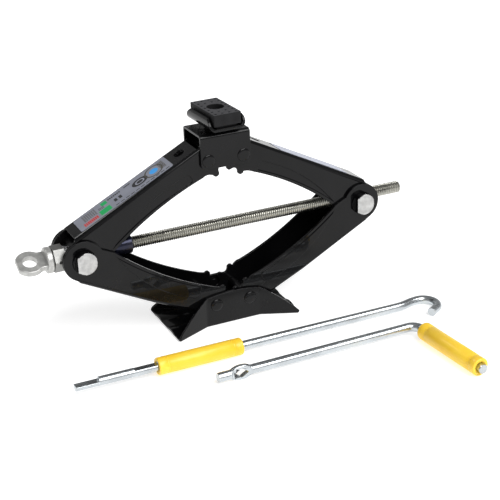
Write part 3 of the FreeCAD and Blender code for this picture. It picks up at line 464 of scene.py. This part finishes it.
def studio_floor():
    """White acrylic that is lit from below as well, so that shadows stay faint."""
    finish = Finish("studio_floor", {
        "Base Color": (0.75, 0.75, 0.75, 1.0), "Specular IOR Level": 0.2,
        "Emission Color": (1.0, 1.0, 1.0, 1.0), "Emission Strength": 0.6,
    })
    wear = finish.noise(finish.place(), scale=6.0)
    finish.drive(Roughness=finish.spread(wear, (0.3, 0.7), (0.55, 0.65)))
    return finish.material


RED_INK = (0.50, 0.015, 0.008)
GREEN_INK = (0.0, 0.33, 0.085)
BLACK_INK = (0.010, 0.010, 0.012)
GREY_INK = (0.05, 0.045, 0.035)
BLUE_INK = (0.04, 0.30, 0.72)

# A printed block: its place along and across the sticker, in shares of its length and
# width, and the rows and dashes that it is broken into (0 is an unbroken block).
Block = namedtuple("Block", "ink along across rows dashes", defaults=(0, 0))
ROW_SHARE = 0.62
DASH_SHARE = 0.72

RATING_PRINT = (
    Block(RED_INK, along=(0.055, 0.205), across=(0.12, 0.34), dashes=8),
    Block(GREY_INK, along=(0.075, 0.215), across=(0.42, 0.90), rows=6, dashes=7),
    Block(GREEN_INK, along=(0.230, 0.345), across=(0.09, 0.44)),
    Block(GREEN_INK, along=(0.285, 0.345), across=(0.64, 0.88)),
    Block(BLACK_INK, along=(0.240, 0.300), across=(0.50, 0.66), rows=2, dashes=4),
    Block(BLACK_INK, along=(0.360, 0.500), across=(0.74, 0.84), dashes=7),
    Block(BLACK_INK, along=(0.370, 0.970), across=(0.07, 0.12), dashes=11),
    Block(BLACK_INK, along=(0.400, 0.430), across=(0.34, 0.56)),
    Block(BLACK_INK, along=(0.450, 0.480), across=(0.34, 0.56)),
    Block(BLACK_INK, along=(0.540, 0.610), across=(0.80, 0.86)),
    Block(GREY_INK, along=(0.900, 0.960), across=(0.30, 0.86), rows=6),
)


def sticker_film(name, tone, blocks):
    """Printed film: satin ground; a film with blocks also gets an oval and a ringed disc."""
    finish = Finish(name, {"Metallic": 0.0, "IOR": 1.45, "Specular IOR Level": 0.2})
    plan = finish.add("ShaderNodeUVMap", uv_map="sticker")
    parts = finish.add("ShaderNodeSeparateXYZ", {0: plan.outputs[0]})
    along, across = parts.outputs["X"], parts.outputs["Y"]
    cloud = finish.noise(finish.place(), scale=70.0, detail=3.0)
    ink = finish.blend(cloud, shade(tone, 0.85), shade(tone, 1.2))

    def within(value, span):
        low, high = span
        return finish.maths("COMPARE", value, (low + high) / 2, (high - low) / 2)

    def broken(mask, value, span, count, share):
        """The mask cut into an even count of strips over a span."""
        step = finish.maths("FRACT", finish.maths("MULTIPLY", value, count / (span[1] - span[0])))
        return finish.maths("MULTIPLY", mask, finish.maths("LESS_THAN", step, share))

    for block in blocks:
        mask = finish.maths("MULTIPLY", within(along, block.along), within(across, block.across))
        if block.rows:
            mask = broken(mask, across, block.across, block.rows, ROW_SHARE)
        if block.dashes:
            mask = broken(mask, along, block.along, block.dashes, DASH_SHARE)
        ink = finish.blend(mask, ink, block.ink)

    def distance(centre_along, centre_across, aspect):
        """Distance from a point of the sticker, in shares of its width."""
        run = finish.maths("MULTIPLY", finish.maths("SUBTRACT", along, centre_along), aspect)
        side = finish.maths("SUBTRACT", across, centre_across)
        squares = finish.maths(
            "ADD", finish.maths("MULTIPLY", run, run), finish.maths("MULTIPLY", side, side),
        )
        return finish.maths("SQRT", squares)

    if blocks:
        oval = distance(centre_along=0.685, centre_across=0.50, aspect=2.9)
        oval_reach, eye_ring, eye_line = 0.24, 0.12, 0.02
        ink = finish.blend(finish.maths("LESS_THAN", oval, oval_reach), ink, BLACK_INK)
        ink = finish.blend(finish.maths("COMPARE", oval, eye_ring, eye_line), ink, shade(tone, 1.5))
        disc = distance(centre_along=0.84, centre_across=0.52, aspect=3.9)
        disc_reach, disc_ring, disc_line = 0.17, 0.34, 0.03
        ink = finish.blend(finish.maths("COMPARE", disc, disc_ring, disc_line), ink, GREY_INK)
        ink = finish.blend(finish.maths("LESS_THAN", disc, disc_reach), ink, BLUE_INK)
    grain = finish.noise(finish.place(), scale=900.0, detail=2.0)
    finish.drive(
        Base_Color=ink,
        Roughness=finish.spread(grain, (0.3, 0.7), (0.34, 0.46)),
        Normal=finish.relief(grain, strength=0.04, depth=0.1 * MM),
    )
    return finish.material


# ------------------------------------------------------------ mesh helpers

def sizes():
    return bpy.context.scene.jack_sizes


def colours():
    return bpy.context.scene.jack_colours


def kept(name, make, *arguments):
    """A material by name, made the first time that it is asked for."""
    return bpy.data.materials.get(name) or make(*arguments)


def lacquer():
    return kept("black_lacquer", black_lacquer, tuple(colours().paint))


def zinc():
    return kept("forged_zinc", forged_zinc, tuple(colours().zinc))


def tool_plating():
    return kept("tool_plating", plated, "tool_plating", tuple(colours().tool), 40.0, 0.24)


# Painted shade: the zinc plating at half its brightness, used on the nut, the saddle pin and the roll
# pin.
def nut_plating():
    return kept("nut_plating", plated, "nut_plating", shade(tuple(colours().zinc), 0.5), 90.0, 0.42)


def body_of_node(node):
    bodies = frame["record"]["behaviour"]["bodies"]
    return next(body for body, members in bodies.items() if node in members)


def link(name, mesh):
    piece = bpy.data.objects.new(name, mesh)
    bpy.context.scene.collection.objects.link(piece)
    return piece


def settle(piece, *nodes):
    """The piece stands for these CAD nodes and moves with their body."""
    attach(piece, body_of_node(nodes[0]))
    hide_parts(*nodes)
    return piece


def smooth(mesh, sharp_angle):
    for face in mesh.polygons:
        face.use_smooth = True
    mesh.set_sharp_from_angle(angle=math.radians(sharp_angle))


def welded_copy(node):
    """A CAD node's mesh with its loose triangles welded and its flat faces joined."""
    mesh = frame["nodes"][node].data.copy()
    mesh.materials.clear()
    work = bmesh.new()
    work.from_mesh(mesh)
    bmesh.ops.remove_doubles(work, verts=work.verts, dist=0.002 * MM)
    bmesh.ops.dissolve_limit(
        work, angle_limit=math.radians(0.4), verts=work.verts, edges=work.edges,
        delimit={"NORMAL"},
    )
    work.to_mesh(mesh)
    work.free()
    for name in ("custom_normal", "sharp_face", "sharp_edge"):
        if name in mesh.attributes:
            mesh.attributes.remove(mesh.attributes[name])
    return mesh


def evaluated_mesh(piece):
    """The piece's mesh with its modifiers worked in."""
    bpy.context.view_layer.update()
    shown = piece.evaluated_get(bpy.context.evaluated_depsgraph_get())
    return bpy.data.meshes.new_from_object(shown)


def pull_strays_back(mesh, true_shape, reach):
    """Where two roundings run past a short corner, their points go back to the true surface."""
    surface = BVHTree.FromPolygons(
        [vertex.co for vertex in true_shape.vertices],
        [face.vertices for face in true_shape.polygons],
    )
    for vertex in mesh.vertices:
        nearest, normal, face, distance = surface.find_nearest(vertex.co)
        if distance > reach:
            vertex.co = nearest


def finished(node, name, materials, edge, sharp_from=35.0, choose=None):
    """A CAD node's shape with rounded edges and its own finish, in the node's place."""
    mesh = welded_copy(node)
    for material in materials:
        mesh.materials.append(material)
    if choose is not None:
        for face in mesh.polygons:
            face.material_index = choose(face)
    smooth(mesh, sharp_from)
    piece = link(name, mesh)
    if edge > 0:
        bevel = piece.modifiers.new("rounded edges", "BEVEL")
        bevel.width = edge
        bevel.segments = sizes().edge_steps
        bevel.limit_method = "ANGLE"
        bevel.angle_limit = math.radians(sharp_from)
        bevel.use_clamp_overlap = False
        bevel.harden_normals = False
        rounded = evaluated_mesh(piece)
        pull_strays_back(rounded, mesh, STRAY_SHARE * edge)
        piece.modifiers.clear()
        piece.data = rounded
        weighted = piece.modifiers.new("even shading", "WEIGHTED_NORMAL")
        weighted.keep_sharp = True
        weighted.weight = 100
    return settle(piece, node)


def long_axis(node):
    """Centre and unit direction of a long CAD node, from its own points."""
    points = np.array([vertex.co for vertex in frame["nodes"][node].data.vertices])
    points = np.unique(np.round(points, 7), axis=0)
    low, high = points.min(axis=0), points.max(axis=0)
    centre = (low + high) / 2
    direction = np.linalg.svd(points - points.mean(axis=0), full_matrices=False)[2][0]
    if direction[np.argmax(np.abs(direction))] < 0:
        direction = -direction
    reach = (points - centre) @ direction
    return Vector(centre), Vector(direction), float(reach.max() - reach.min())


def turned(name, profile, facets, centre, direction):
    """A closed ring turned from (distance, radius) points about an axis through centre."""
    work = bmesh.new()
    facing = direction.to_track_quat("X", "Z")
    rings = []
    for step in range(facets):
        spin = Quaternion((1, 0, 0), math.tau * step / facets)
        rings.append([
            work.verts.new(centre + facing @ (spin @ Vector((along, 0.0, radius))))
            for along, radius in profile
        ])
    count = len(profile)
    for step in range(facets):
        here, there = rings[step], rings[(step + 1) % facets]
        for n in range(count):
            m = (n + 1) % count
            work.faces.new((here[n], here[m], there[m], there[n]))
    bmesh.ops.recalc_face_normals(work, faces=work.faces)
    mesh = bpy.data.meshes.new(name)
    work.to_mesh(mesh)
    work.free()
    return link(name, mesh)


# --------------------------------------------------------- geometry trees

def new_geometry_tree(name, numbers):
    """A geometry tree with named inputs, ready for its nodes."""
    group = bpy.data.node_groups.new(name, "GeometryNodeTree")
    group.interface.new_socket("Geometry", in_out="OUTPUT", socket_type="NodeSocketGeometry")
    for label, kind in numbers.items():
        group.interface.new_socket(label, in_out="INPUT", socket_type="NodeSocket" + kind)
    tree = Tree(group)
    source = tree.add("NodeGroupInput")
    sink = tree.add("NodeGroupOutput")
    return tree, source.outputs, sink


def end_tree(tree, given, sink, geometry):
    """Close a tree: real geometry, its material, and out."""
    real = tree.add("GeometryNodeRealizeInstances", {"Geometry": geometry})
    painted = tree.add("GeometryNodeSetMaterial", {
        "Geometry": real.outputs[0], "Material": given["Material"],
    })
    tree.feed(sink.inputs["Geometry"], painted.outputs[0])
    return tree.tree


def grow(name, group, values):
    """Run a geometry tree and keep its result as a plain, closed mesh."""
    piece = link(name, bpy.data.meshes.new(name))
    modifier = piece.modifiers.new(group.name, "NODES")
    modifier.node_group = group
    for item in group.interface.items_tree:
        if item.item_type == "SOCKET" and item.in_out == "INPUT":
            modifier[item.identifier] = values[item.name]
    mesh = evaluated_mesh(piece)
    piece.modifiers.clear()
    work = bmesh.new()
    work.from_mesh(mesh)
    bmesh.ops.remove_doubles(work, verts=work.verts, dist=0.004 * MM)
    bmesh.ops.recalc_face_normals(work, faces=work.faces)
    work.to_mesh(mesh)
    work.free()
    piece.data = mesh
    return piece


def thread_tree():
    """A bar along X whose skin rises and falls with a helical thread, closed at both ends."""
    tree, given, sink = new_geometry_tree("Threaded bar", {
        "Start": "Float", "Length": "Float", "Height": "Float", "Radius": "Float",
        "Pitch": "Float", "Depth": "Float", "Rows": "Int", "Facets": "Int",
        "Material": "Material",
    })
    grid = tree.add("GeometryNodeMeshGrid", {
        "Size X": 1.0, "Size Y": 1.0, "Vertices X": given["Rows"], "Vertices Y": given["Facets"],
    })
    spot = tree.add("ShaderNodeSeparateXYZ", {0: tree.add("GeometryNodeInputPosition").outputs[0]})
    share = tree.maths("ADD", spot.outputs["X"], 0.5)
    turn = tree.maths("ADD", spot.outputs["Y"], 0.5)

    # the first and last rows close the bar's flat ends
    closing = given["Pitch"]
    whole = tree.maths("MULTIPLY_ADD", closing, 2.0, given["Length"])
    run = tree.maths("SUBTRACT", tree.maths("MULTIPLY", share, whole), closing)
    along = tree.maths("MINIMUM", tree.maths("MAXIMUM", run, 0.0), given["Length"])
    beyond = tree.maths("ABSOLUTE", tree.maths("SUBTRACT", run, along))
    open_share = tree.maths("SUBTRACT", 1.0, tree.maths("DIVIDE", beyond, closing))

    turns = tree.maths("DIVIDE", along, given["Pitch"])
    phase = tree.maths("FRACT", tree.maths("SUBTRACT", turns, turn))
    wave = tree.maths("ABSOLUTE", tree.maths("MULTIPLY_ADD", phase, 2.0, -1.0))
    flank = tree.maths("MULTIPLY_ADD", wave, 1.5, -0.25)
    crest = tree.maths("MINIMUM", tree.maths("MAXIMUM", flank, 0.0), 1.0)
    drop = tree.maths("MULTIPLY", tree.maths("SUBTRACT", 1.0, crest), given["Depth"])
    threaded = tree.maths("SUBTRACT", given["Radius"], drop)
    to_end = tree.maths("MINIMUM", along, tree.maths("SUBTRACT", given["Length"], along))
    root = tree.maths("SUBTRACT", given["Radius"], given["Depth"])
    bevelled = tree.maths("MINIMUM", threaded, tree.maths("ADD", root, to_end))
    radius = tree.maths("MULTIPLY", bevelled, open_share)

    angle = tree.maths("MULTIPLY", turn, math.tau)
    place = tree.add("ShaderNodeCombineXYZ", {
        "X": tree.maths("ADD", along, given["Start"]),
        "Y": tree.maths("MULTIPLY", radius, tree.maths("COSINE", angle)),
        "Z": tree.maths("MULTIPLY_ADD", radius, tree.maths("SINE", angle), given["Height"]),
    })
    moved = tree.add("GeometryNodeSetPosition", {
        "Geometry": grid.outputs["Mesh"], "Position": place.outputs[0],
    })
    return end_tree(tree, given, sink, moved.outputs[0])


def ball_ring_tree():
    """A ring of balls about the X axis."""
    tree, given, sink = new_geometry_tree("Ball ring", {
        "Centre": "Vector", "Circle": "Float", "Ball": "Float", "Count": "Int",
        "Material": "Material",
    })
    circle = tree.add("GeometryNodeMeshCircle", {
        "Vertices": given["Count"], "Radius": given["Circle"],
    })
    ball = tree.add("GeometryNodeMeshIcoSphere", {"Radius": given["Ball"], "Subdivisions": 3})
    ring = tree.add("GeometryNodeInstanceOnPoints", {
        "Points": circle.outputs[0], "Instance": ball.outputs["Mesh"],
    })
    placed = tree.add("GeometryNodeTransform", {
        "Geometry": ring.outputs[0], "Translation": given["Centre"],
        "Rotation": (0.0, math.pi / 2, 0.0),
    })
    return end_tree(tree, given, sink, placed.outputs[0])


def rivet_pair_tree():
    """Two rivets along Y: shanks with flat-topped round heads bedded on both sides."""
    tree, given, sink = new_geometry_tree("Rivet pair", {
        "Middle": "Vector", "Gap": "Float", "Grip": "Float", "Shank": "Float",
        "Head": "Float", "Rise": "Float", "Material": "Material",
    })
    ball = tree.add("GeometryNodeMeshUVSphere", {"Segments": 48, "Rings": 24, "Radius": 1.0})
    spot = tree.add("ShaderNodeSeparateXYZ", {0: tree.add("GeometryNodeInputPosition").outputs[0]})
    squared = tree.maths("POWER", tree.maths("ABSOLUTE", spot.outputs["Z"]), 2.0)
    reach = tree.maths("SUBTRACT", 1.0, squared)
    height = tree.maths("POWER", tree.maths("SUBTRACT", 1.0, tree.maths("MULTIPLY", reach, reach)), 0.5)
    side = tree.maths("SIGN", spot.outputs["Z"])
    lens = tree.add("ShaderNodeCombineXYZ", {
        "X": tree.maths("MULTIPLY", spot.outputs["X"], given["Head"]),
        "Y": tree.maths("MULTIPLY", tree.maths("MULTIPLY", height, side), given["Rise"]),
        "Z": tree.maths("MULTIPLY", spot.outputs["Y"], given["Head"]),
    })
    head = tree.add("GeometryNodeSetPosition", {
        "Geometry": ball.outputs["Mesh"], "Position": lens.outputs[0],
    })
    ends = tree.add("GeometryNodeMeshLine", {
        "Count": 2,
        "Start Location": tree.add("ShaderNodeCombineXYZ", {
            "Y": tree.maths("MULTIPLY", given["Grip"], -0.5),
        }).outputs[0],
        "Offset": tree.add("ShaderNodeCombineXYZ", {"Y": given["Grip"]}).outputs[0],
    })
    heads = tree.add("GeometryNodeInstanceOnPoints", {
        "Points": ends.outputs[0], "Instance": head.outputs[0],
    })
    shank = tree.add("GeometryNodeMeshCylinder", {
        "Vertices": 40, "Radius": given["Shank"], "Depth": given["Grip"],
    })
    across = tree.add("GeometryNodeTransform", {
        "Geometry": shank.outputs["Mesh"], "Rotation": (math.pi / 2, 0.0, 0.0),
    })
    joined = tree.add("GeometryNodeJoinGeometry")
    tree.tree.links.new(heads.outputs[0], joined.inputs[0])
    tree.tree.links.new(across.outputs[0], joined.inputs[0])
    pair = tree.add("GeometryNodeMeshLine", {
        "Count": 2,
        "Start Location": tree.add("ShaderNodeCombineXYZ", {
            "X": tree.maths("MULTIPLY", given["Gap"], -0.5),
        }).outputs[0],
        "Offset": tree.add("ShaderNodeCombineXYZ", {"X": given["Gap"]}).outputs[0],
    })
    rivets = tree.add("GeometryNodeInstanceOnPoints", {
        "Points": pair.outputs[0], "Instance": joined.outputs[0],
    })
    placed = tree.add("GeometryNodeTransform", {
        "Geometry": rivets.outputs[0], "Translation": given["Middle"],
    })
    return end_tree(tree, given, sink, placed.outputs[0])


# --------------------------------------------------------------- operators

class JACK_OT_stage(bpy.types.Operator):
    """Set up the floor, the soft lights and the camera"""
    bl_idname = "jack.stage"
    bl_label = "Stage"

    def execute(self, context):
        stage = context.scene.jack_stage
        self.lay_floor()
        self.light_room(context.scene, stage)
        self.hang_sun("front softbox", FRONT_SOFTBOX, stage.key_spread, stage.key_power)
        self.hang_sun("right strip", RIGHT_STRIP, stage.rim_spread, stage.rim_power)
        self.hang_sun("back strip", BACK_STRIP, stage.rim_spread, stage.rim_power)
        self.aim_camera(context.scene, stage)
        context.scene.view_settings.view_transform = "Standard"
        return {"FINISHED"}

    def lay_floor(self):
        half = FLOOR_HALF
        mesh = bpy.data.meshes.new("floor")
        corners = [(-half, -half, 0), (half, -half, 0), (half, half, 0), (-half, half, 0)]
        mesh.from_pydata(corners, [], [(0, 1, 2, 3)])
        mesh.materials.append(studio_floor())
        link("floor", mesh)

    def light_room(self, scene, stage):
        """A dim room: grey at the horizon and dark overhead, so that metal shows contrast."""
        world = bpy.data.worlds.new("room")
        world.use_nodes = True
        tree = Tree(world.node_tree)
        where = tree.add("ShaderNodeTexCoord").outputs["Generated"]
        height = tree.add("ShaderNodeSeparateXYZ", {0: where}).outputs["Z"]
        ramp = tree.add("ShaderNodeValToRGB", {"Fac": height})
        while len(ramp.color_ramp.elements) < len(ROOM_GREYS):
            ramp.color_ramp.elements.new(0.5)
        for element, (place, grey) in zip(ramp.color_ramp.elements, ROOM_GREYS):
            element.position = place
            element.color = (grey, grey, grey, 1.0)
        background = world.node_tree.nodes["Background"]
        tree.feed(background.inputs["Color"], ramp.outputs["Color"])
        background.inputs["Strength"].default_value = stage.sky
        scene.world = world

    def hang_sun(self, name, place, spread, power):
        """An even light from one side of the room; its spread makes it soft."""
        lamp = bpy.data.lights.new(name, "SUN")
        lamp.angle = spread
        lamp.energy = power
        light = bpy.data.objects.new(name, lamp)
        light.location = place
        light.rotation_euler = Vector(place).to_track_quat("Z", "Y").to_euler()
        bpy.context.scene.collection.objects.link(light)

    def aim_camera(self, scene, stage):
        lens = bpy.data.cameras.new("camera")
        lens.lens = stage.lens
        lens.sensor_width = SENSOR_WIDTH
        lens.clip_start = NEAREST_SEEN
        lens.clip_end = FARTHEST_SEEN
        camera = bpy.data.objects.new("camera", lens)
        level = math.cos(stage.elevation)
        away = Vector((
            -math.sin(stage.azimuth) * level, math.cos(stage.azimuth) * level,
            -math.sin(stage.elevation),
        ))
        camera.location = stage.camera_place
        camera.rotation_mode = "QUATERNION"
        roll = Quaternion((0.0, 0.0, 1.0), stage.roll)
        camera.rotation_quaternion = away.to_track_quat("-Z", "Y") @ roll
        scene.collection.objects.link(camera)
        scene.camera = camera


class JACK_OT_base(bpy.types.Operator):
    """Finish the pressed base tray and set its rivets"""
    bl_idname = "jack.base"
    bl_label = "Base"

    def execute(self, context):
        finished("base_plate", "base_tray", [lacquer()], sizes().sheet_edge)
        rise = sizes().base_head_rise
        rivet_pair("base_rivets", "base_rivet_left", "base_rivet_right", rise)
        return {"FINISHED"}


def rivet_pair(name, left, right, rise):
    """Two riveted pivots on one body, as long and as far apart as their CAD nodes."""
    low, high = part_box(left)
    other_low, other_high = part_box(right)
    middle = (low + other_high) / 2
    group = bpy.data.node_groups.get("Rivet pair") or rivet_pair_tree()
    piece = grow(name, group, {
        "Middle": middle, "Gap": other_low.x - low.x, "Grip": high.y - low.y - 2 * rise,
        "Shank": sizes().rivet_shank, "Head": sizes().rivet_head, "Rise": rise,
        "Material": lacquer(),
    })
    smooth(piece.data, 40.0)
    settle(piece, left, right)


class JACK_OT_arms(bpy.types.Operator):
    """Finish the four channel arms"""
    bl_idname = "jack.arms"
    bl_label = "Arms"

    def execute(self, context):
        for level in ("lower", "upper"):
            for side in ("left", "right"):
                finished(
                    f"{level}_arm_{side}", f"{level}_channel_{side}",
                    [lacquer()], sizes().sheet_edge,
                )
        return {"FINISHED"}


class JACK_OT_top(bpy.types.Operator):
    """Finish the top bracket, its rivets, the saddle and the rubber pad"""
    bl_idname = "jack.top"
    bl_label = "Top bracket, saddle and pad"

    def execute(self, context):
        edge = sizes().sheet_edge
        finished("top_bracket", "top_bracket_pressing", [lacquer()], edge)
        rivet_pair("top_rivets", "top_rivet_left", "top_rivet_right", sizes().top_head_rise)
        finished("saddle_spacer", "saddle_washer", [lacquer()], sizes().turned_edge)
        finished("saddle_plate", "saddle_cradle", [lacquer()], edge)
        finished("saddle_rivet", "saddle_pin", [nut_plating()], 0.0)
        rubber = kept("moulded_rubber", moulded_rubber, tuple(colours().rubber))
        finished("rubber_pad", "pad_block", [rubber], sizes().rubber_edge)
        return {"FINISHED"}


class JACK_OT_cross_bars(bpy.types.Operator):
    """Finish the two cross bars: lacquered sides and bare cut ends"""
    bl_idname = "jack.cross_bars"
    bl_label = "Cross bars"

    def execute(self, context):
        bare = kept("cut_steel", cut_steel, tuple(colours().bare))
        end_share = 0.99
        faces_along = 0.3
        for side in ("left", "right"):
            node = "trunnion_" + side
            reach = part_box(node)[1].y

            def is_end(face):
                far_out = abs(face.center.y) > end_share * reach
                return int(far_out and abs(face.normal.y) > faces_along)

            finished(
                node, "cross_bar_" + side, [lacquer(), bare], sizes().turned_edge,
                choose=is_end,
            )
        return {"FINISHED"}


class JACK_OT_screw(bpy.types.Operator):
    """Cut the lift screw's thread and finish the parts on it"""
    bl_idname = "jack.screw"
    bl_label = "Lift screw"

    def execute(self, context):
        jack = sizes()
        low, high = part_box("lift_screw")
        thread_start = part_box("hex_nut")[1].x
        radius = (high.z - low.z) / 2
        height = (high.z + low.z) / 2
        length = high.x - thread_start
        turns = length / jack.thread_pitch + 2
        plating = screw_plating(
            tuple(colours().screw), tuple(colours().thread_root_shade),
            height, radius, radius - jack.thread_depth,
        )
        piece = grow("threaded_screw", thread_tree(), {
            "Start": thread_start, "Length": length, "Height": height, "Radius": radius,
            "Pitch": jack.thread_pitch, "Depth": jack.thread_depth,
            "Rows": round(turns * jack.thread_rows), "Facets": jack.thread_facets + 1,
            "Material": plating,
        })
        smooth(piece.data, 38.0)
        settle(piece, "lift_screw")
        finished("screw_eye", "forged_eye", [zinc()], 0.0, 30.0)
        finished("hex_nut", "hexagon_nut", [nut_plating()], jack.turned_edge)
        finished("roll_pin", "nut_pin", [nut_plating()], 0.0)
        blued = kept("blued_steel", blued_steel, tuple(colours().sleeve))
        finished("stop_sleeve", "blued_sleeve", [blued], 0.0)
        return {"FINISHED"}


class JACK_OT_bearing(bpy.types.Operator):
    """Fit the thrust bearing's balls, cage and races"""
    bl_idname = "jack.bearing"
    bl_label = "Thrust bearing"

    def execute(self, context):
        steel = kept("polished_steel", polished_steel, tuple(colours().bearing))
        low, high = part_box("bearing_balls")
        ball = (high.x - low.x) / 2
        piece = grow("ball_ring", ball_ring_tree(), {
            "Centre": (low + high) / 2, "Circle": (high.z - low.z) / 2 - ball,
            "Ball": ball, "Count": sizes().ball_count, "Material": steel,
        })
        smooth(piece.data, 60.0)
        settle(piece, "bearing_balls")
        for node, name in (
            ("bearing_race_outer", "outer_race"),
            ("bearing_race_inner", "inner_race"),
            ("ball_cage", "cage"),
        ):
            finished(node, name, [steel], 0.0)
        return {"FINISHED"}


class JACK_OT_stickers(bpy.types.Operator):
    """Print the two stickers on the upper arms"""
    bl_idname = "jack.stickers"
    bl_label = "Stickers"

    def execute(self, context):
        tone = tuple(colours().film)
        rating = sticker_film("rating_film", tone, RATING_PRINT)
        plain = sticker_film("plain_film", shade(tone, 2.2), [])
        self.stick("rating_label", "rating_sticker", rating)
        self.stick("notice_label", "notice_sticker", plain)
        return {"FINISHED"}

    def stick(self, node, name, film):
        """The sticker's own flat map: along the arm from the cross bar, and across from the front."""
        centre, direction, length = long_axis(node)
        if direction.z < 0:
            direction = -direction
        low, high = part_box(node)
        piece = finished(node, name, [film], 0.0)
        plan = piece.data.uv_layers.new(name="sticker")
        for loop in piece.data.loops:
            spot = piece.data.vertices[loop.vertex_index].co
            along = (spot - centre).dot(direction) / length + 0.5
            across = (spot.y - low.y) / (high.y - low.y)
            plan.data[loop.index].uv = (along, across)


class JACK_OT_tools(bpy.types.Operator):
    """Finish the hook rod and the crank handle"""
    bl_idname = "jack.tools"
    bl_label = "Hook rod and crank handle"

    def execute(self, context):
        edge = sizes().turned_edge
        finished("hook_rod", "hook_bar", [tool_plating()], edge, 32.0)
        finished("crank_handle", "crank_bar", [tool_plating()], edge, 32.0)
        return {"FINISHED"}


class JACK_OT_grips(bpy.types.Operator):
    """Turn the two plastic grips"""
    bl_idname = "jack.grips"
    bl_label = "Grips"

    def execute(self, context):
        plastic = kept("grip_plastic", grip_plastic, tuple(colours().plastic))
        grip = sizes()
        self.turn_grip(
            "hook_grip", "hook_sleeve", grip.hook_grip_radius, grip.hook_grip_bore, plastic,
        )
        self.turn_grip(
            "crank_grip", "crank_sleeve", grip.crank_grip_radius, grip.crank_grip_bore, plastic,
        )
        return {"FINISHED"}

    def turn_grip(self, node, name, radius, bore, plastic):
        """A tube with rounded rims, countersunk mouths and two rings near each end."""
        centre, direction, length = long_axis(node)
        half = length / 2
        rim = sizes().grip_rim
        mouth = sizes().grip_mouth
        rim_steps = 5
        outside = []
        for step in reversed(range(rim_steps + 1)):
            turn = math.pi / 2 * step / rim_steps
            outside.append((
                -half + rim * (1 - math.sin(turn)), radius - rim * (1 - math.cos(turn)),
            ))
        width = sizes().grip_ring_width
        for place in (sizes().first_ring, sizes().second_ring):
            outside.append((-half + place, radius))
            outside.append((-half + place + width / 2, radius - sizes().grip_ring))
            outside.append((-half + place + width, radius))
        mirrored = [(-along, reach) for along, reach in reversed(outside)]
        inside = [
            (half, bore + mouth), (half - mouth, bore),
            (mouth - half, bore), (-half, bore + mouth),
        ]
        piece = turned(name, outside + mirrored + inside, GRIP_FACETS, centre, direction)
        piece.data.materials.append(plastic)
        smooth(piece.data, 40.0)
        settle(piece, node)


class JACK_PT_panel(bpy.types.Panel):
    """Lists the jack's pieces in the sidebar"""
    bl_label = "Scissor Jack"
    bl_idname = "JACK_PT_panel"
    bl_space_type = "VIEW_3D"
    bl_region_type = "UI"
    bl_category = "Jack"

    def draw(self, context):
        for group in (
            context.scene.jack_sizes, context.scene.jack_colours, context.scene.jack_stage,
        ):
            box = self.layout.box()
            for name in group.__annotations__:
                box.prop(group, name)
        for operator in OPERATORS:
            self.layout.operator(operator.bl_idname)


OPERATORS = (
    JACK_OT_stage, JACK_OT_base, JACK_OT_arms, JACK_OT_top, JACK_OT_cross_bars,
    JACK_OT_screw, JACK_OT_bearing, JACK_OT_stickers, JACK_OT_tools, JACK_OT_grips,
)
GROUPS = {
    "jack_sizes": JackSizes, "jack_colours": JackColours, "jack_stage": JackStage,
}


def register():
    for name, group in GROUPS.items():
        bpy.utils.register_class(group)
        setattr(bpy.types.Scene, name, PointerProperty(type=group))
    for operator in OPERATORS:
        bpy.utils.register_class(operator)
    bpy.utils.register_class(JACK_PT_panel)


def unregister():
    bpy.utils.unregister_class(JACK_PT_panel)
    for operator in reversed(OPERATORS):
        bpy.utils.unregister_class(operator)
    for name, group in GROUPS.items():
        delattr(bpy.types.Scene, name)
        bpy.utils.unregister_class(group)


def main():
    register()
    for operator in OPERATORS:
        run = getattr(bpy.ops.jack, operator.bl_idname.split(".")[1])
        if run() != {"FINISHED"}:
            raise RuntimeError(operator.bl_label + " did not finish")


if __name__ == "__main__":
    main()
